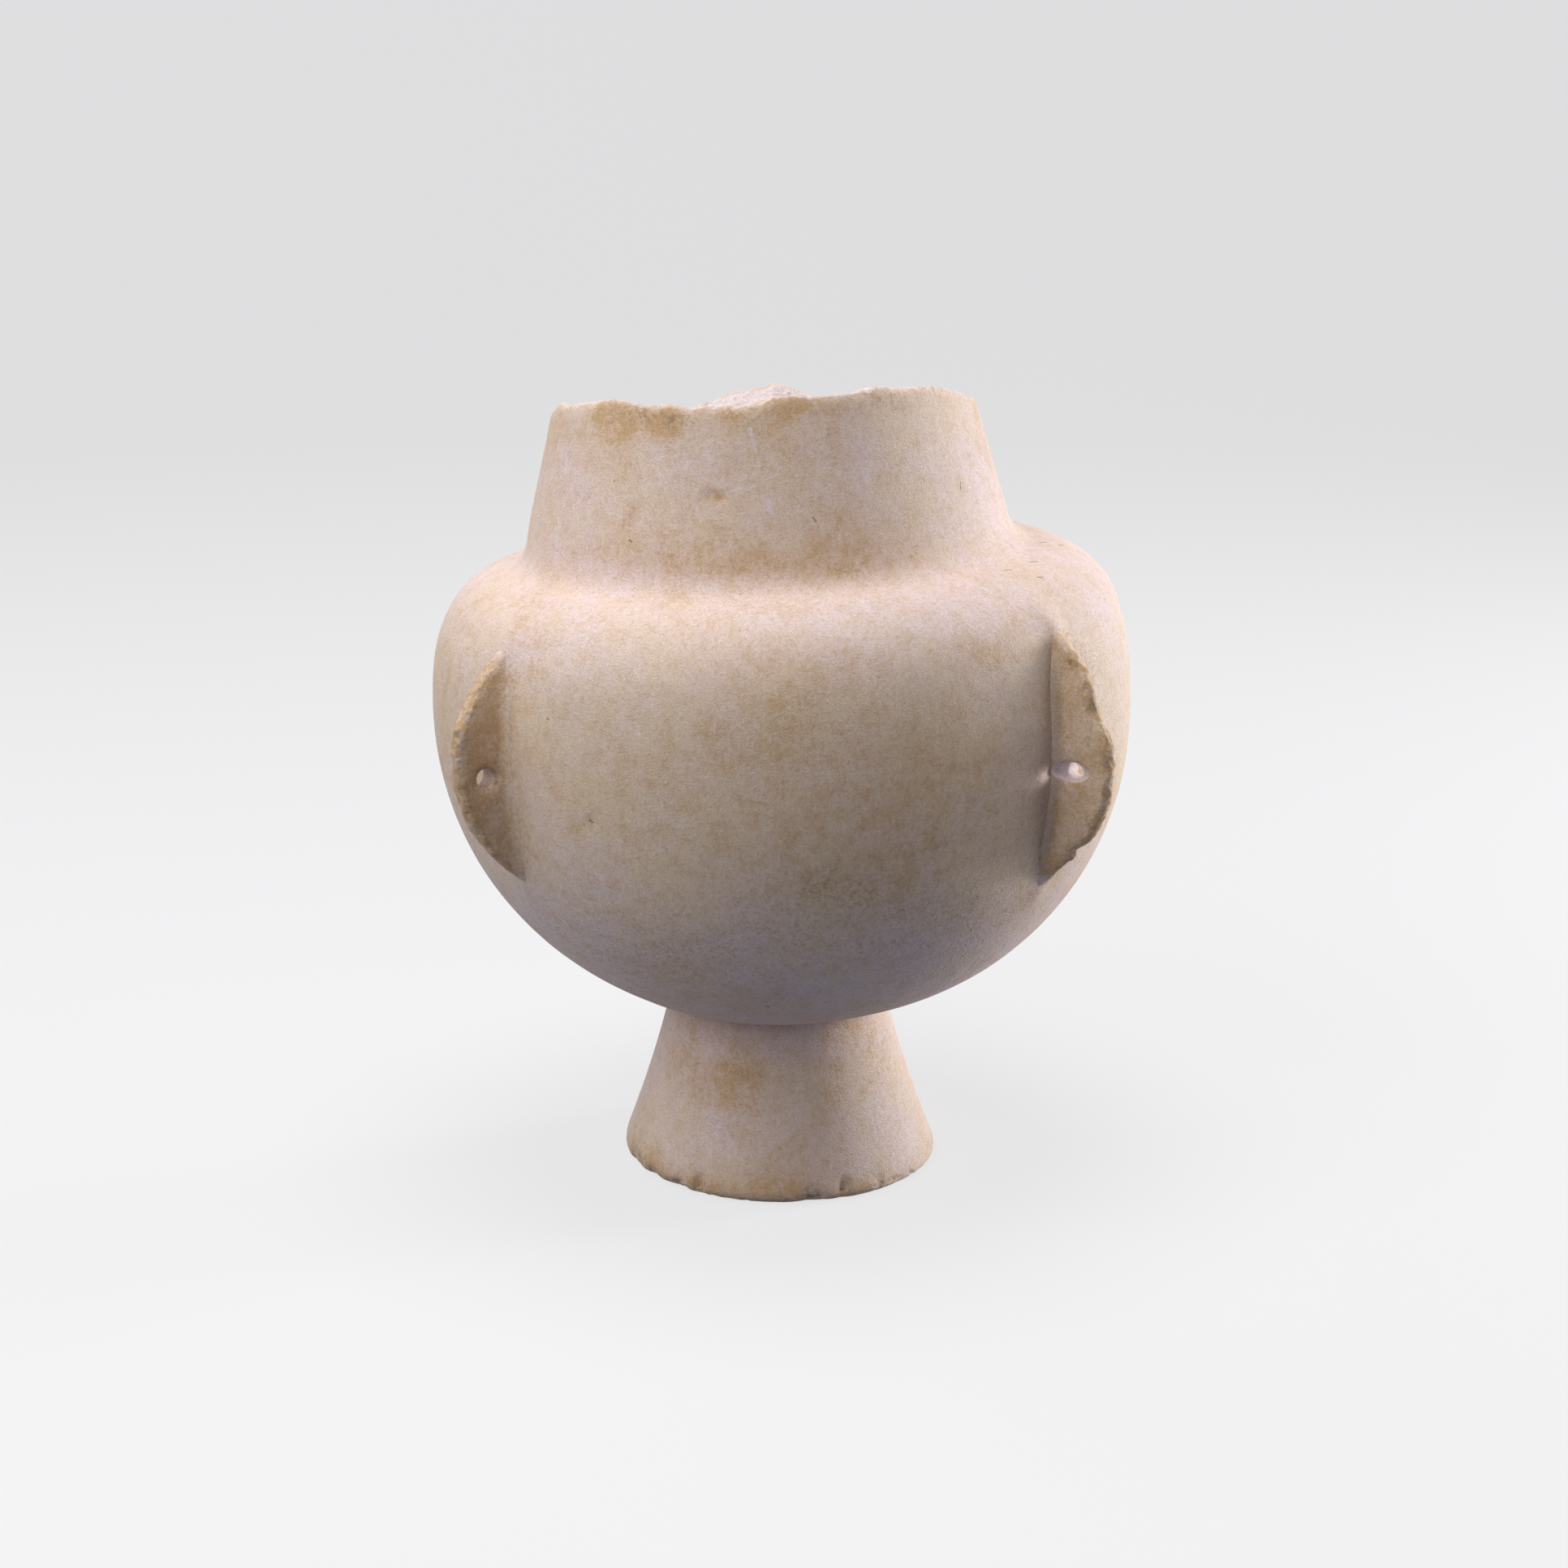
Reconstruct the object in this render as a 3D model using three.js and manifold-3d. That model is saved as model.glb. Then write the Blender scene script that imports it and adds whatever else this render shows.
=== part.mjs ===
// Collared jar of white marble: a conical foot, a round hollow body with four pierced lugs and
// a tapering collar whose rim has broken away. Millimetres, +Z up, the foot stands on z = 0 and
// the widest part of the body is centred on the Z axis. The jar was carved from one block; the
// joints between its members are flat planes, and each lug is seated on the curve of the body.
import * as THREE from 'three';
import * as BufferGeometryUtils from 'three/addons/utils/BufferGeometryUtils.js';
import Module from 'manifold-3d';

const wasm = await Module();
wasm.setup();

// Foot
const FOOT_HEIGHT = 49.5;
const FOOT_TOP_RADIUS = 31.6;
const FOOT_BOTTOM_RADIUS = 46.2;
const FOOT_FLARE = 0.9;          // how far the side is drawn in from a straight cone
const FOOT_EDGE_WEAR = 3.4;      // rounding of the worn lower edge
const FOOT_DISH_RADIUS = 33;     // shallow hollow under the foot
const FOOT_DISH_DEPTH = 3;

// Body
const BODY_RADIUS = 100;
const BELLY_DEPTH = 92.6;        // from the widest level to where the round belly would close
const BELLY_POWER = 2.09;        // 2 is an ellipse, more is fuller
const SHOULDER_RISE = 43.6;      // from the widest level to the foot of the collar
const SHOULDER_FULLNESS = 32;    // how far the wall keeps rising before it turns in
const SHOULDER_SLOPE = 0.17;     // fall per unit of width beside the collar
const SHOULDER_FLAT = 15;        // width of that slope
const BODY_WALL = 15;
const BODY_FLOOR = 24;           // stone left above the foot, at the axis
const CAVITY_LIFT = 6;           // widest level of the cavity above the middle of its height

// Collar
const COLLAR_BASE_RADIUS = 70.3;
const COLLAR_TAPER = 0.265;      // radius lost per unit of height
const COLLAR_FILLET = 6.5;       // height of the hollow curve where the collar meets the shoulder
const COLLAR_FILLET_WIDTH = 4.9;
const COLLAR_WALL = 10;
const COLLAR_JOINT_RISE = 11;    // height of the flat joint above the foot of the collar
const NECK_DEPTH = 15;           // of the bored neck, below that joint
const NECK_FLARE = 1;            // how much wider the neck is at its lower end
const RIM_RISE = 39.7;           // mean height of the broken rim above the foot of the collar

// The side that is meant to be seen, from which places round the jar are measured
const FRONT_AZIMUTH = THREE.MathUtils.degToRad(-45);

// The carving isn't quite true: seen from the front, its axis wanders to the left and right
const FOOT_OFFSET = 1.1;         // of the foot to the left
const FOOT_OFFSET_END = 9;       // height over which the belly comes into line with the foot
const BELLY_LEAN = Math.tan(THREE.MathUtils.degToRad(0.8));     // to the right, going down
const COLLAR_LEAN = Math.tan(THREE.MathUtils.degToRad(2.2));    // to the left, going up
const COLLAR_OFFSET = 1.3;       // further step to the left at the collar
const SHOULDER_TILT = Math.tan(THREE.MathUtils.degToRad(3));    // higher on the right
const TILT_RISE = 30.5;          // above the widest level, where lean and tilt are full

// Lugs
const LUG_SPREAD = THREE.MathUtils.degToRad(50);   // from the front to the middle of a front lug
const LUG_ROOT_THICKNESS = 8.4;
const LUG_CREST_THICKNESS = 4.4;
const LUG_ROOT_FILLET = 1.4;
const LUG_CREST_ROUNDING = 0.8;  // share of the crest's half thickness that is rounded off
const LUG_END_TRIM = 0.03;       // share of the half length cut off where the lug runs out
const LUG_ROOT_DEPTH = 5;        // stone taken past the body's surface before it is seated
const LUG_SEAT_GAP = 0.3;
const BORE_DIAMETER = 7;
const BORE_MOUTH = 8.6;          // the bore was drilled from both sides and widens outwards
const BORE_WAIST = 2;            // length of the narrow part
const BORE_OVERRUN = 3;          // of the cut past each flank
const BORE_STANDOFF = 4.4;       // from the body's surface to the middle of the bore

// Two lugs were carved alike on each diagonal. The drops are below the widest level
const RIGHT_LUG = { rise: 14.2, length: 70, drop: 5.5, boreDrop: 5.8 };
const LEFT_LUG = { rise: 13.8, length: 69, drop: 3.5, boreDrop: 8.5 };

const ROUND = 64;                // facets around the jar
const RIM_ROUND = 96;
const BORE_ROUND = 18;
const BELLY_STEPS = 16;
const SHOULDER_STEPS = 12;
const FILLET_STEPS = 5;
const CAVITY_STEPS = 14;
const LUG_STEPS = 22;
const CREST_STEPS = 3;

// Heights
const WIDEST = FOOT_HEIGHT + bellyDepthAt(FOOT_TOP_RADIUS);
const COLLAR_FOOT = WIDEST + SHOULDER_RISE;
const COLLAR_JOINT = COLLAR_FOOT + COLLAR_JOINT_RISE;
const RIM = COLLAR_FOOT + RIM_RISE;

// The break is a tilted plane with swells, a rippled surface and a crown across the wall.
// Directions and spreads are in degrees from the front, positive to the right.
const BREAK_TILT = { toward: 31, rise: 7.2 };
const BREAK_SWELLS = [
  { toward: 40, rise: 3.1, spread: 40 },
  { toward: -64, rise: 5, spread: 41 },
  { toward: -29, rise: -0.8, spread: 9 },
  { toward: 123, rise: -4.8, spread: 45 },
  { toward: 180, rise: 5.8, spread: 13 },
];
const BREAK_RIPPLES = [7, 13, 23];   // waves round the rim
const BREAK_ROUGHNESS = 0.5;
const BREAK_CROWN = 1;
const BREAK_INNER_DROP = 2.2;

function bellyDepthAt(radius) {
  const share = 1 - Math.pow(radius / BODY_RADIUS, BELLY_POWER);
  return BELLY_DEPTH * Math.pow(share, 1 / BELLY_POWER);
}

function collarRadiusAt(z) {
  return COLLAR_BASE_RADIUS - COLLAR_TAPER * (z - COLLAR_FOOT);
}

function smooth(low, high, value) {
  return THREE.MathUtils.smoothstep(value, low, high);
}

// The belly from the foot's joint up to the widest level, a superellipse.
function bellyCurve() {
  const points = [];
  const first = Math.asin(Math.pow(FOOT_TOP_RADIUS / BODY_RADIUS, BELLY_POWER / 2));
  for (let i = 0; i <= BELLY_STEPS; i += 1) {
    const angle = first + (Math.PI / 2 - first) * (i / BELLY_STEPS);
    const radius = BODY_RADIUS * Math.pow(Math.sin(angle), 2 / BELLY_POWER);
    const depth = BELLY_DEPTH * Math.pow(Math.cos(angle), 2 / BELLY_POWER);
    points.push(new THREE.Vector2(radius, WIDEST - depth));
  }
  points[0].set(FOOT_TOP_RADIUS, FOOT_HEIGHT);
  return points;
}

// Where the shoulder meets the hollow fillet beside the collar.
function filletStart() {
  return new THREE.Vector2(
    COLLAR_BASE_RADIUS + COLLAR_FILLET_WIDTH,
    COLLAR_FOOT - SHOULDER_SLOPE * COLLAR_FILLET_WIDTH,
  );
}

// The shoulder turns in from the widest level to the fillet.
function shoulderCurve() {
  const end = filletStart();
  const curve = new THREE.CubicBezierCurve(
    new THREE.Vector2(BODY_RADIUS, WIDEST),
    new THREE.Vector2(BODY_RADIUS, WIDEST + SHOULDER_FULLNESS),
    new THREE.Vector2(end.x + SHOULDER_FLAT, end.y - SHOULDER_SLOPE * SHOULDER_FLAT),
    end,
  );
  return curve.getPoints(SHOULDER_STEPS);
}

// The fillet ends on the collar's cone.
function filletCurve() {
  const top = COLLAR_FOOT + COLLAR_FILLET;
  const curve = new THREE.QuadraticBezierCurve(
    filletStart(),
    new THREE.Vector2(COLLAR_BASE_RADIUS, COLLAR_FOOT),
    new THREE.Vector2(collarRadiusAt(top), top),
  );
  return curve.getPoints(FILLET_STEPS);
}

// The outside of the body that shows between the foot and the collar's fillet.
function bodySkin() {
  return bellyCurve().concat(shoulderCurve().slice(1));
}

// The hollow inside the body: a bored neck over a rounded cavity, drawn from the top down.
function cavityCurve() {
  const neck = collarRadiusAt(COLLAR_JOINT) - COLLAR_WALL;
  const neckEnd = COLLAR_JOINT - NECK_DEPTH;
  const widest = BODY_RADIUS - BODY_WALL;
  const floor = FOOT_HEIGHT + BODY_FLOOR;
  const middle = (neckEnd + floor) / 2 + CAVITY_LIFT;
  const start = Math.asin((neck + NECK_FLARE) / widest);
  const upper = (neckEnd - middle) / Math.cos(start);
  const lower = middle - floor;
  const points = [new THREE.Vector2(neck, COLLAR_JOINT), new THREE.Vector2(neck + NECK_FLARE, neckEnd)];
  for (let i = 1; i < CAVITY_STEPS; i += 1) {
    const angle = start + (Math.PI - start) * (i / CAVITY_STEPS);
    const height = Math.cos(angle);
    points.push(new THREE.Vector2(widest * Math.sin(angle), middle + height * (height > 0 ? upper : lower)));
  }
  points.push(new THREE.Vector2(0, floor));
  return points;
}

function lathe(points, segments) {
  const geometry = new THREE.LatheGeometry(points, segments);
  geometry.rotateX(Math.PI / 2);
  return geometry;
}

function turnedBody() {
  const outer = [new THREE.Vector2(0, FOOT_HEIGHT)].concat(bodySkin(), filletCurve().slice(1));
  outer.push(new THREE.Vector2(collarRadiusAt(COLLAR_JOINT), COLLAR_JOINT));
  return lathe(outer.concat(cavityCurve()), ROUND);
}

// The body's outside, grown by the seat gap along its normal and closed at both ends, to cut
// the lugs' roots.
function seatCutter() {
  const skin = bodySkin();
  const points = skin.map((point, i) => {
    const before = skin[Math.max(i - 1, 0)];
    const after = skin[Math.min(i + 1, skin.length - 1)];
    const along = after.clone().sub(before).normalize();
    return new THREE.Vector2(point.x + LUG_SEAT_GAP * along.y, point.y - LUG_SEAT_GAP * along.x);
  });
  points.unshift(new THREE.Vector2(0, points[0].y));
  points.push(new THREE.Vector2(0, points[points.length - 1].y));
  return lathe(points, ROUND);
}

function turnedFoot() {
  const dishSteps = 4;
  const edgeSteps = 4;
  const sideSteps = 8;
  const points = [];
  for (let i = 0; i <= dishSteps; i += 1) {
    const share = i / dishSteps;
    points.push(new THREE.Vector2(FOOT_DISH_RADIUS * share, FOOT_DISH_DEPTH * (1 - share * share)));
  }
  const edge = new THREE.QuadraticBezierCurve(
    new THREE.Vector2(FOOT_BOTTOM_RADIUS - FOOT_EDGE_WEAR, 0),
    new THREE.Vector2(FOOT_BOTTOM_RADIUS, 0),
    new THREE.Vector2(FOOT_BOTTOM_RADIUS, FOOT_EDGE_WEAR),
  );
  points.push(...edge.getPoints(edgeSteps));
  for (let i = 1; i <= sideSteps; i += 1) {
    const share = i / sideSteps;
    const straight = THREE.MathUtils.lerp(FOOT_BOTTOM_RADIUS, FOOT_TOP_RADIUS, share);
    const radius = straight - FOOT_FLARE * Math.sin(Math.PI * share);
    points.push(new THREE.Vector2(radius, THREE.MathUtils.lerp(FOOT_EDGE_WEAR, FOOT_HEIGHT, share)));
  }
  points.push(new THREE.Vector2(0, FOOT_HEIGHT));
  return lathe(points, ROUND);
}

// Height of the break at an angle round the jar; across runs from 0 outside to 1 inside.
function breakHeight(azimuth, across) {
  const turn = azimuth - FRONT_AZIMUTH;
  let z = RIM + BREAK_TILT.rise * Math.cos(turn - THREE.MathUtils.degToRad(BREAK_TILT.toward));
  BREAK_SWELLS.forEach((swell) => {
    const away = turn - THREE.MathUtils.degToRad(swell.toward);
    const wrapped = THREE.MathUtils.euclideanModulo(away + Math.PI, 2 * Math.PI) - Math.PI;
    const share = wrapped / THREE.MathUtils.degToRad(swell.spread);
    z += swell.rise * Math.exp(-share * share);
  });
  BREAK_RIPPLES.forEach((waves) => {
    z += BREAK_ROUGHNESS * Math.sin(waves * turn + Math.PI * across);
  });
  return z + BREAK_CROWN * Math.sin(Math.PI * across) - BREAK_INNER_DROP * across * across;
}

// The collar's wall is turned to an even height, and each line up the wall is then stretched or
// shortened to end at the break.
function brokenCollar() {
  const rows = 5;
  const topSteps = 3;
  const points = [];
  for (let i = 0; i <= rows; i += 1) {
    const z = THREE.MathUtils.lerp(COLLAR_JOINT, RIM, i / rows);
    points.push(new THREE.Vector2(collarRadiusAt(z), z));
  }
  for (let i = 1; i < topSteps; i += 1) {
    points.push(new THREE.Vector2(collarRadiusAt(RIM) - COLLAR_WALL * (i / topSteps), RIM));
  }
  for (let i = rows; i >= 0; i -= 1) {
    const z = THREE.MathUtils.lerp(COLLAR_JOINT, RIM, i / rows);
    points.push(new THREE.Vector2(collarRadiusAt(z) - COLLAR_WALL, z));
  }
  points.push(points[0].clone());
  const geometry = lathe(points, RIM_ROUND);
  const place = geometry.getAttribute('position');
  for (let i = 0; i < place.count; i += 1) {
    const x = place.getX(i);
    const y = place.getY(i);
    const z = place.getZ(i);
    const azimuth = Math.atan2(y, x);
    const depth = collarRadiusAt(z) - Math.hypot(x, y);
    const across = THREE.MathUtils.clamp(depth / COLLAR_WALL, 0, 1);
    const share = (z - COLLAR_JOINT) / (RIM - COLLAR_JOINT);
    const height = THREE.MathUtils.lerp(COLLAR_JOINT, breakHeight(azimuth, across), share);
    const radius = collarRadiusAt(height) - depth;
    place.setXYZ(i, radius * Math.cos(azimuth), radius * Math.sin(azimuth), height);
  }
  return geometry;
}

function bodyRadiusAt(z) {
  const skin = bodySkin();
  for (let i = 1; i < skin.length; i += 1) {
    if (z <= skin[i].y) {
      const share = (z - skin[i - 1].y) / (skin[i].y - skin[i - 1].y);
      return THREE.MathUtils.lerp(skin[i - 1].x, skin[i].x, share);
    }
  }
  return skin[skin.length - 1].x;
}

// Half of a lug's level section, from its buried root to its crest: how far each corner stands
// out from the body and to the side of the lug's middle. Past the sloping fillet at its root it
// tapers outwards to a round crest.
function lugSection(rise, fullRise) {
  const root = LUG_ROOT_THICKNESS / 2;
  const taper = (LUG_ROOT_THICKNESS - LUG_CREST_THICKNESS) / 2 / fullRise;
  const crest = root - taper * rise;
  const round = Math.min(crest, rise) * LUG_CREST_ROUNDING;
  const fillet = Math.min(LUG_ROOT_FILLET, rise / 3);
  const half = [
    [-LUG_ROOT_DEPTH, root + fillet + LUG_ROOT_DEPTH],
    [fillet, root - taper * fillet],
  ];
  for (let i = 0; i < CREST_STEPS; i += 1) {
    const angle = (Math.PI / 2) * (i / (CREST_STEPS - 0.5));
    const below = round * (1 - Math.sin(angle));
    half.push([rise - below, (crest + taper * below) * Math.cos(angle)]);
  }
  return half;
}

// One lug along +X: level sections from its lower end to its upper end. The crest follows a
// parabola over the body's curve.
function lugLoft(lug) {
  const reach = 1 - LUG_END_TRIM;
  const corners = [];
  for (let i = 0; i <= LUG_STEPS; i += 1) {
    const along = THREE.MathUtils.lerp(-reach, reach, i / LUG_STEPS);
    const z = WIDEST - lug.drop + (along * lug.length) / 2;
    const surface = bodyRadiusAt(z);
    const half = lugSection(lug.rise * (1 - along * along), lug.rise);
    half.forEach(([out, side]) => corners.push(surface + out, -side, z));
    half.reverse().forEach(([out, side]) => corners.push(surface + out, side, z));
  }
  const ring = corners.length / 3 / (LUG_STEPS + 1);
  const faces = [];
  for (let i = 0; i < LUG_STEPS; i += 1) {
    for (let j = 0; j < ring; j += 1) {
      const a = i * ring + j;
      const b = i * ring + ((j + 1) % ring);
      faces.push(a, b, b + ring, a, b + ring, a + ring);
    }
  }
  const top = LUG_STEPS * ring;
  for (let j = 0; j < ring / 2 - 1; j += 1) {
    const k = ring - 1 - j;
    faces.push(j, k, k - 1, j, k - 1, j + 1);
    faces.push(top + j, top + k - 1, top + k, top + j, top + j + 1, top + k - 1);
  }
  const geometry = new THREE.BufferGeometry();
  geometry.setAttribute('position', new THREE.Float32BufferAttribute(corners, 3));
  geometry.setIndex(faces);
  return geometry;
}

// The bore runs level through the lug, narrow in the middle and wider at both flanks.
function boreCutter(lug) {
  const waist = BORE_WAIST / 2;
  const flank = LUG_ROOT_THICKNESS / 2;
  const end = flank + BORE_OVERRUN;
  const slope = (BORE_MOUTH - BORE_DIAMETER) / 2 / (flank - waist);
  const mouth = BORE_DIAMETER / 2 + slope * (end - waist);
  const points = [
    new THREE.Vector2(0, -end),
    new THREE.Vector2(mouth, -end),
    new THREE.Vector2(BORE_DIAMETER / 2, -waist),
    new THREE.Vector2(BORE_DIAMETER / 2, waist),
    new THREE.Vector2(mouth, end),
    new THREE.Vector2(0, end),
  ];
  const geometry = new THREE.LatheGeometry(points, BORE_ROUND);
  const z = WIDEST - lug.boreDrop;
  geometry.translate(bodyRadiusAt(z) + BORE_STANDOFF, 0, z);
  return geometry;
}

function toSolid(geometry) {
  const plain = geometry.clone();
  plain.deleteAttribute('normal');
  plain.deleteAttribute('uv');
  const merged = BufferGeometryUtils.mergeVertices(plain, 1e-4);
  const index = merged.getIndex().array;
  const faces = [];
  for (let i = 0; i < index.length; i += 3) {
    const [a, b, c] = [index[i], index[i + 1], index[i + 2]];
    if (a !== b && b !== c && c !== a) {
      faces.push(a, b, c);
    }
  }
  const vertProperties = new Float32Array(merged.getAttribute('position').array);
  const mesh = new wasm.Mesh({ numProp: 3, vertProperties, triVerts: new Uint32Array(faces) });
  return new wasm.Manifold(mesh);
}

function toGeometry(solid) {
  const mesh = solid.getMesh();
  const geometry = new THREE.BufferGeometry();
  geometry.setAttribute('position', new THREE.Float32BufferAttribute(mesh.vertProperties, 3));
  geometry.setIndex(Array.from(mesh.triVerts));
  return geometry;
}

// A lug turned to its place and cut there, so that its seat follows the body facet by facet.
function piercedLug(lug, azimuth) {
  const blank = toSolid(lugLoft(lug).rotateZ(azimuth));
  const bore = toSolid(boreCutter(lug).rotateZ(azimuth));
  return toGeometry(blank.subtract(toSolid(seatCutter())).subtract(bore));
}

// How far the jar's axis is to the left at a height, seen from the front.
function axisShift(z) {
  if (z < WIDEST) {
    const inLine = smooth(FOOT_HEIGHT, FOOT_HEIGHT + FOOT_OFFSET_END, z);
    return THREE.MathUtils.lerp(FOOT_OFFSET, -BELLY_LEAN * (WIDEST - z), inLine);
  }
  const above = z - WIDEST;
  const step = COLLAR_OFFSET * smooth(TILT_RISE, SHOULDER_RISE, above);
  return COLLAR_LEAN * above * smooth(0, TILT_RISE, above) + step;
}

// Points follow the jar's axis sideways, and the shoulder is higher on the right. The flat
// joints stay level.
function carveAskew(geometry) {
  const place = geometry.getAttribute('position');
  const east = -Math.sin(FRONT_AZIMUTH);
  const north = Math.cos(FRONT_AZIMUTH);
  for (let i = 0; i < place.count; i += 1) {
    const x = place.getX(i);
    const y = place.getY(i);
    const z = place.getZ(i);
    const shift = axisShift(z);
    const tilted = smooth(0, TILT_RISE, z - WIDEST) * (1 - smooth(COLLAR_FOOT, COLLAR_JOINT, z));
    const lift = SHOULDER_TILT * (x * east + y * north) * tilted;
    place.setXYZ(i, x - shift * east, y - shift * north, z + lift);
  }
  geometry.computeVertexNormals();
  return geometry;
}

function piece(name, geometry, color, roughness) {
  const material = new THREE.MeshStandardMaterial({ color, roughness, metalness: 0 });
  const mesh = new THREE.Mesh(carveAskew(geometry), material);
  mesh.name = name;
  return mesh;
}

const jar = new THREE.Group();
jar.add(piece('foot', turnedFoot(), 0xd8c8b4, 0.6));
jar.add(piece('body', turnedBody(), 0xd6c6b2, 0.55));
jar.add(piece('collar', brokenCollar(), 0xdaccb9, 0.58));

const lugs = [
  ['lug_front_right', RIGHT_LUG, FRONT_AZIMUTH + LUG_SPREAD],
  ['lug_front_left', LEFT_LUG, FRONT_AZIMUTH - LUG_SPREAD],
  ['lug_back_left', RIGHT_LUG, FRONT_AZIMUTH + LUG_SPREAD + Math.PI],
  ['lug_back_right', LEFT_LUG, FRONT_AZIMUTH - LUG_SPREAD + Math.PI],
];
lugs.forEach(([name, lug, azimuth]) => {
  jar.add(piece(name, piercedLug(lug, azimuth), 0xcbb69c, 0.65));
});

export default jar;
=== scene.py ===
"""Early Cycladic collared jar in white marble, on a plain pale floor.

Shapes are worked out in millimetres, +Z up, with the foot standing on z = 0, and add_mesh turns
them into metres. Every piece is a surface of two parameters, worked out with numpy from the
sizes below and from the frame. Places round the jar are turns in degrees from its front,
positive to the right.
"""
import math

import bpy
import numpy as np
from bpy.props import FloatProperty, FloatVectorProperty, IntProperty, PointerProperty
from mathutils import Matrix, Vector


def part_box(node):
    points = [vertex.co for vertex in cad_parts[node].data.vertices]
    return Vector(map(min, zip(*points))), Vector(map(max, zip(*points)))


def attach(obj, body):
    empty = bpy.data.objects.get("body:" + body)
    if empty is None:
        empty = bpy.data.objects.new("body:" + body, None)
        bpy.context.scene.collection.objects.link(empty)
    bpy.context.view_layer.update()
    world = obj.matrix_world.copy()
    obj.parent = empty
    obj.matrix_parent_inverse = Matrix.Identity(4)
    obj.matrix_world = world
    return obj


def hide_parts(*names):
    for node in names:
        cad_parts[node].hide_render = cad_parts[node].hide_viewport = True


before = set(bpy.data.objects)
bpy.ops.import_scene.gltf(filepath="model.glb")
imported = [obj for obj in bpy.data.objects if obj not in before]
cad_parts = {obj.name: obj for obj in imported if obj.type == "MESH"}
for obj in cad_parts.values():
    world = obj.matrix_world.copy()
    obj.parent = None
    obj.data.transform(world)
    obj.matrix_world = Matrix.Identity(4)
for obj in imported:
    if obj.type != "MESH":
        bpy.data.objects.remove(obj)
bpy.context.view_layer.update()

bl_info = {
    "name": "Collared jar",
    "version": (1, 1, 0),
    "blender": (4, 5, 0),
    "location": "3D View > Sidebar > Jar",
    "description": "Builds a marble collared jar with pierced lugs and its studio",
    "category": "Add Mesh",
}

MM = 0.001
FOOT_LOW, FOOT_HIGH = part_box("foot")
BODY_LOW, BODY_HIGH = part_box("body")
FRONT = math.radians(-45.0)
RIGHT = np.array([math.cos(FRONT + math.pi / 2), math.sin(FRONT + math.pi / 2), 0.0])
AHEAD = np.array([math.cos(FRONT), math.sin(FRONT), 0.0])
UP = np.array([0.0, 0.0, 1.0])
FULL_TURN = 2.0 * math.pi
MASKS = ("ochre", "grime", "pale", "fresh")
BUMP_STRENGTH = 0.8
# Height of the cavity's floor over the foot's top, in millimetres
CAVITY_FLOOR = 24
# The camera's focal length and its turn aside, in pixels of the picture's width
PICTURE, FOCAL, ASIDE = 1932.0, 3541.0, 3.0


class JarSizes(bpy.types.PropertyGroup):
    """Sizes of the jar that a user may change"""

    foot_top: FloatProperty(name="Foot top", description="Radius where the foot meets the belly",
                            default=31.6 * MM, unit="LENGTH")
    foot_wear: FloatProperty(name="Foot wear", description="Rounding of the foot's worn edge",
                             default=3.6 * MM, unit="LENGTH")
    belly_depth: FloatProperty(name="Belly depth", description="Widest level to where the belly would close",
                               default=92.6 * MM, unit="LENGTH")
    belly_power: FloatProperty(name="Belly fullness", description="2 is an ellipse, more is fuller",
                               default=2.09)
    shoulder_rise: FloatProperty(name="Shoulder rise", description="Widest level to the foot of the collar",
                                 default=43.6 * MM, unit="LENGTH")
    shoulder_fullness: FloatProperty(name="Shoulder fullness",
                                     description="How far the wall rises before it turns in",
                                     default=32 * MM, unit="LENGTH")
    collar_radius: FloatProperty(name="Collar radius", description="Radius at the foot of the collar",
                                 default=70.3 * MM, unit="LENGTH")
    collar_taper: FloatProperty(name="Collar taper", description="Radius lost per unit of height",
                                default=0.265)
    collar_wall: FloatProperty(name="Collar wall", description="Thickness of the collar", default=10 * MM,
                               unit="LENGTH")
    rim_rise: FloatProperty(name="Rim rise", description="Mean height of the break over the collar's foot",
                            default=39.7 * MM, unit="LENGTH")
    body_wall: FloatProperty(name="Body wall", description="Thickness of the body at its widest level",
                             default=15 * MM, unit="LENGTH")
    lean: FloatProperty(name="Lean", description="Lean of the upper part to the left of the front",
                        default=math.radians(2.2), unit="ROTATION")
    tilt: FloatProperty(name="Tilt", description="Tilt of the shoulder, higher on the right",
                        default=math.radians(3.0), unit="ROTATION")
    lug_root: FloatProperty(name="Lug root", description="Thickness of a lug at its root", default=8.4 * MM,
                            unit="LENGTH")
    lug_crest: FloatProperty(name="Lug crest", description="Thickness of a lug at its crest",
                             default=4.4 * MM, unit="LENGTH")
    bore: FloatProperty(name="Bore", description="Bore through a lug at its waist", default=4.9 * MM,
                        unit="LENGTH")
    bore_mouth: FloatProperty(name="Bore mouth", description="Bore where it opens on a lug's side",
                              default=6.4 * MM, unit="LENGTH")
    columns: IntProperty(name="Columns", description="Grid columns round the body", default=560, min=48)


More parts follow.
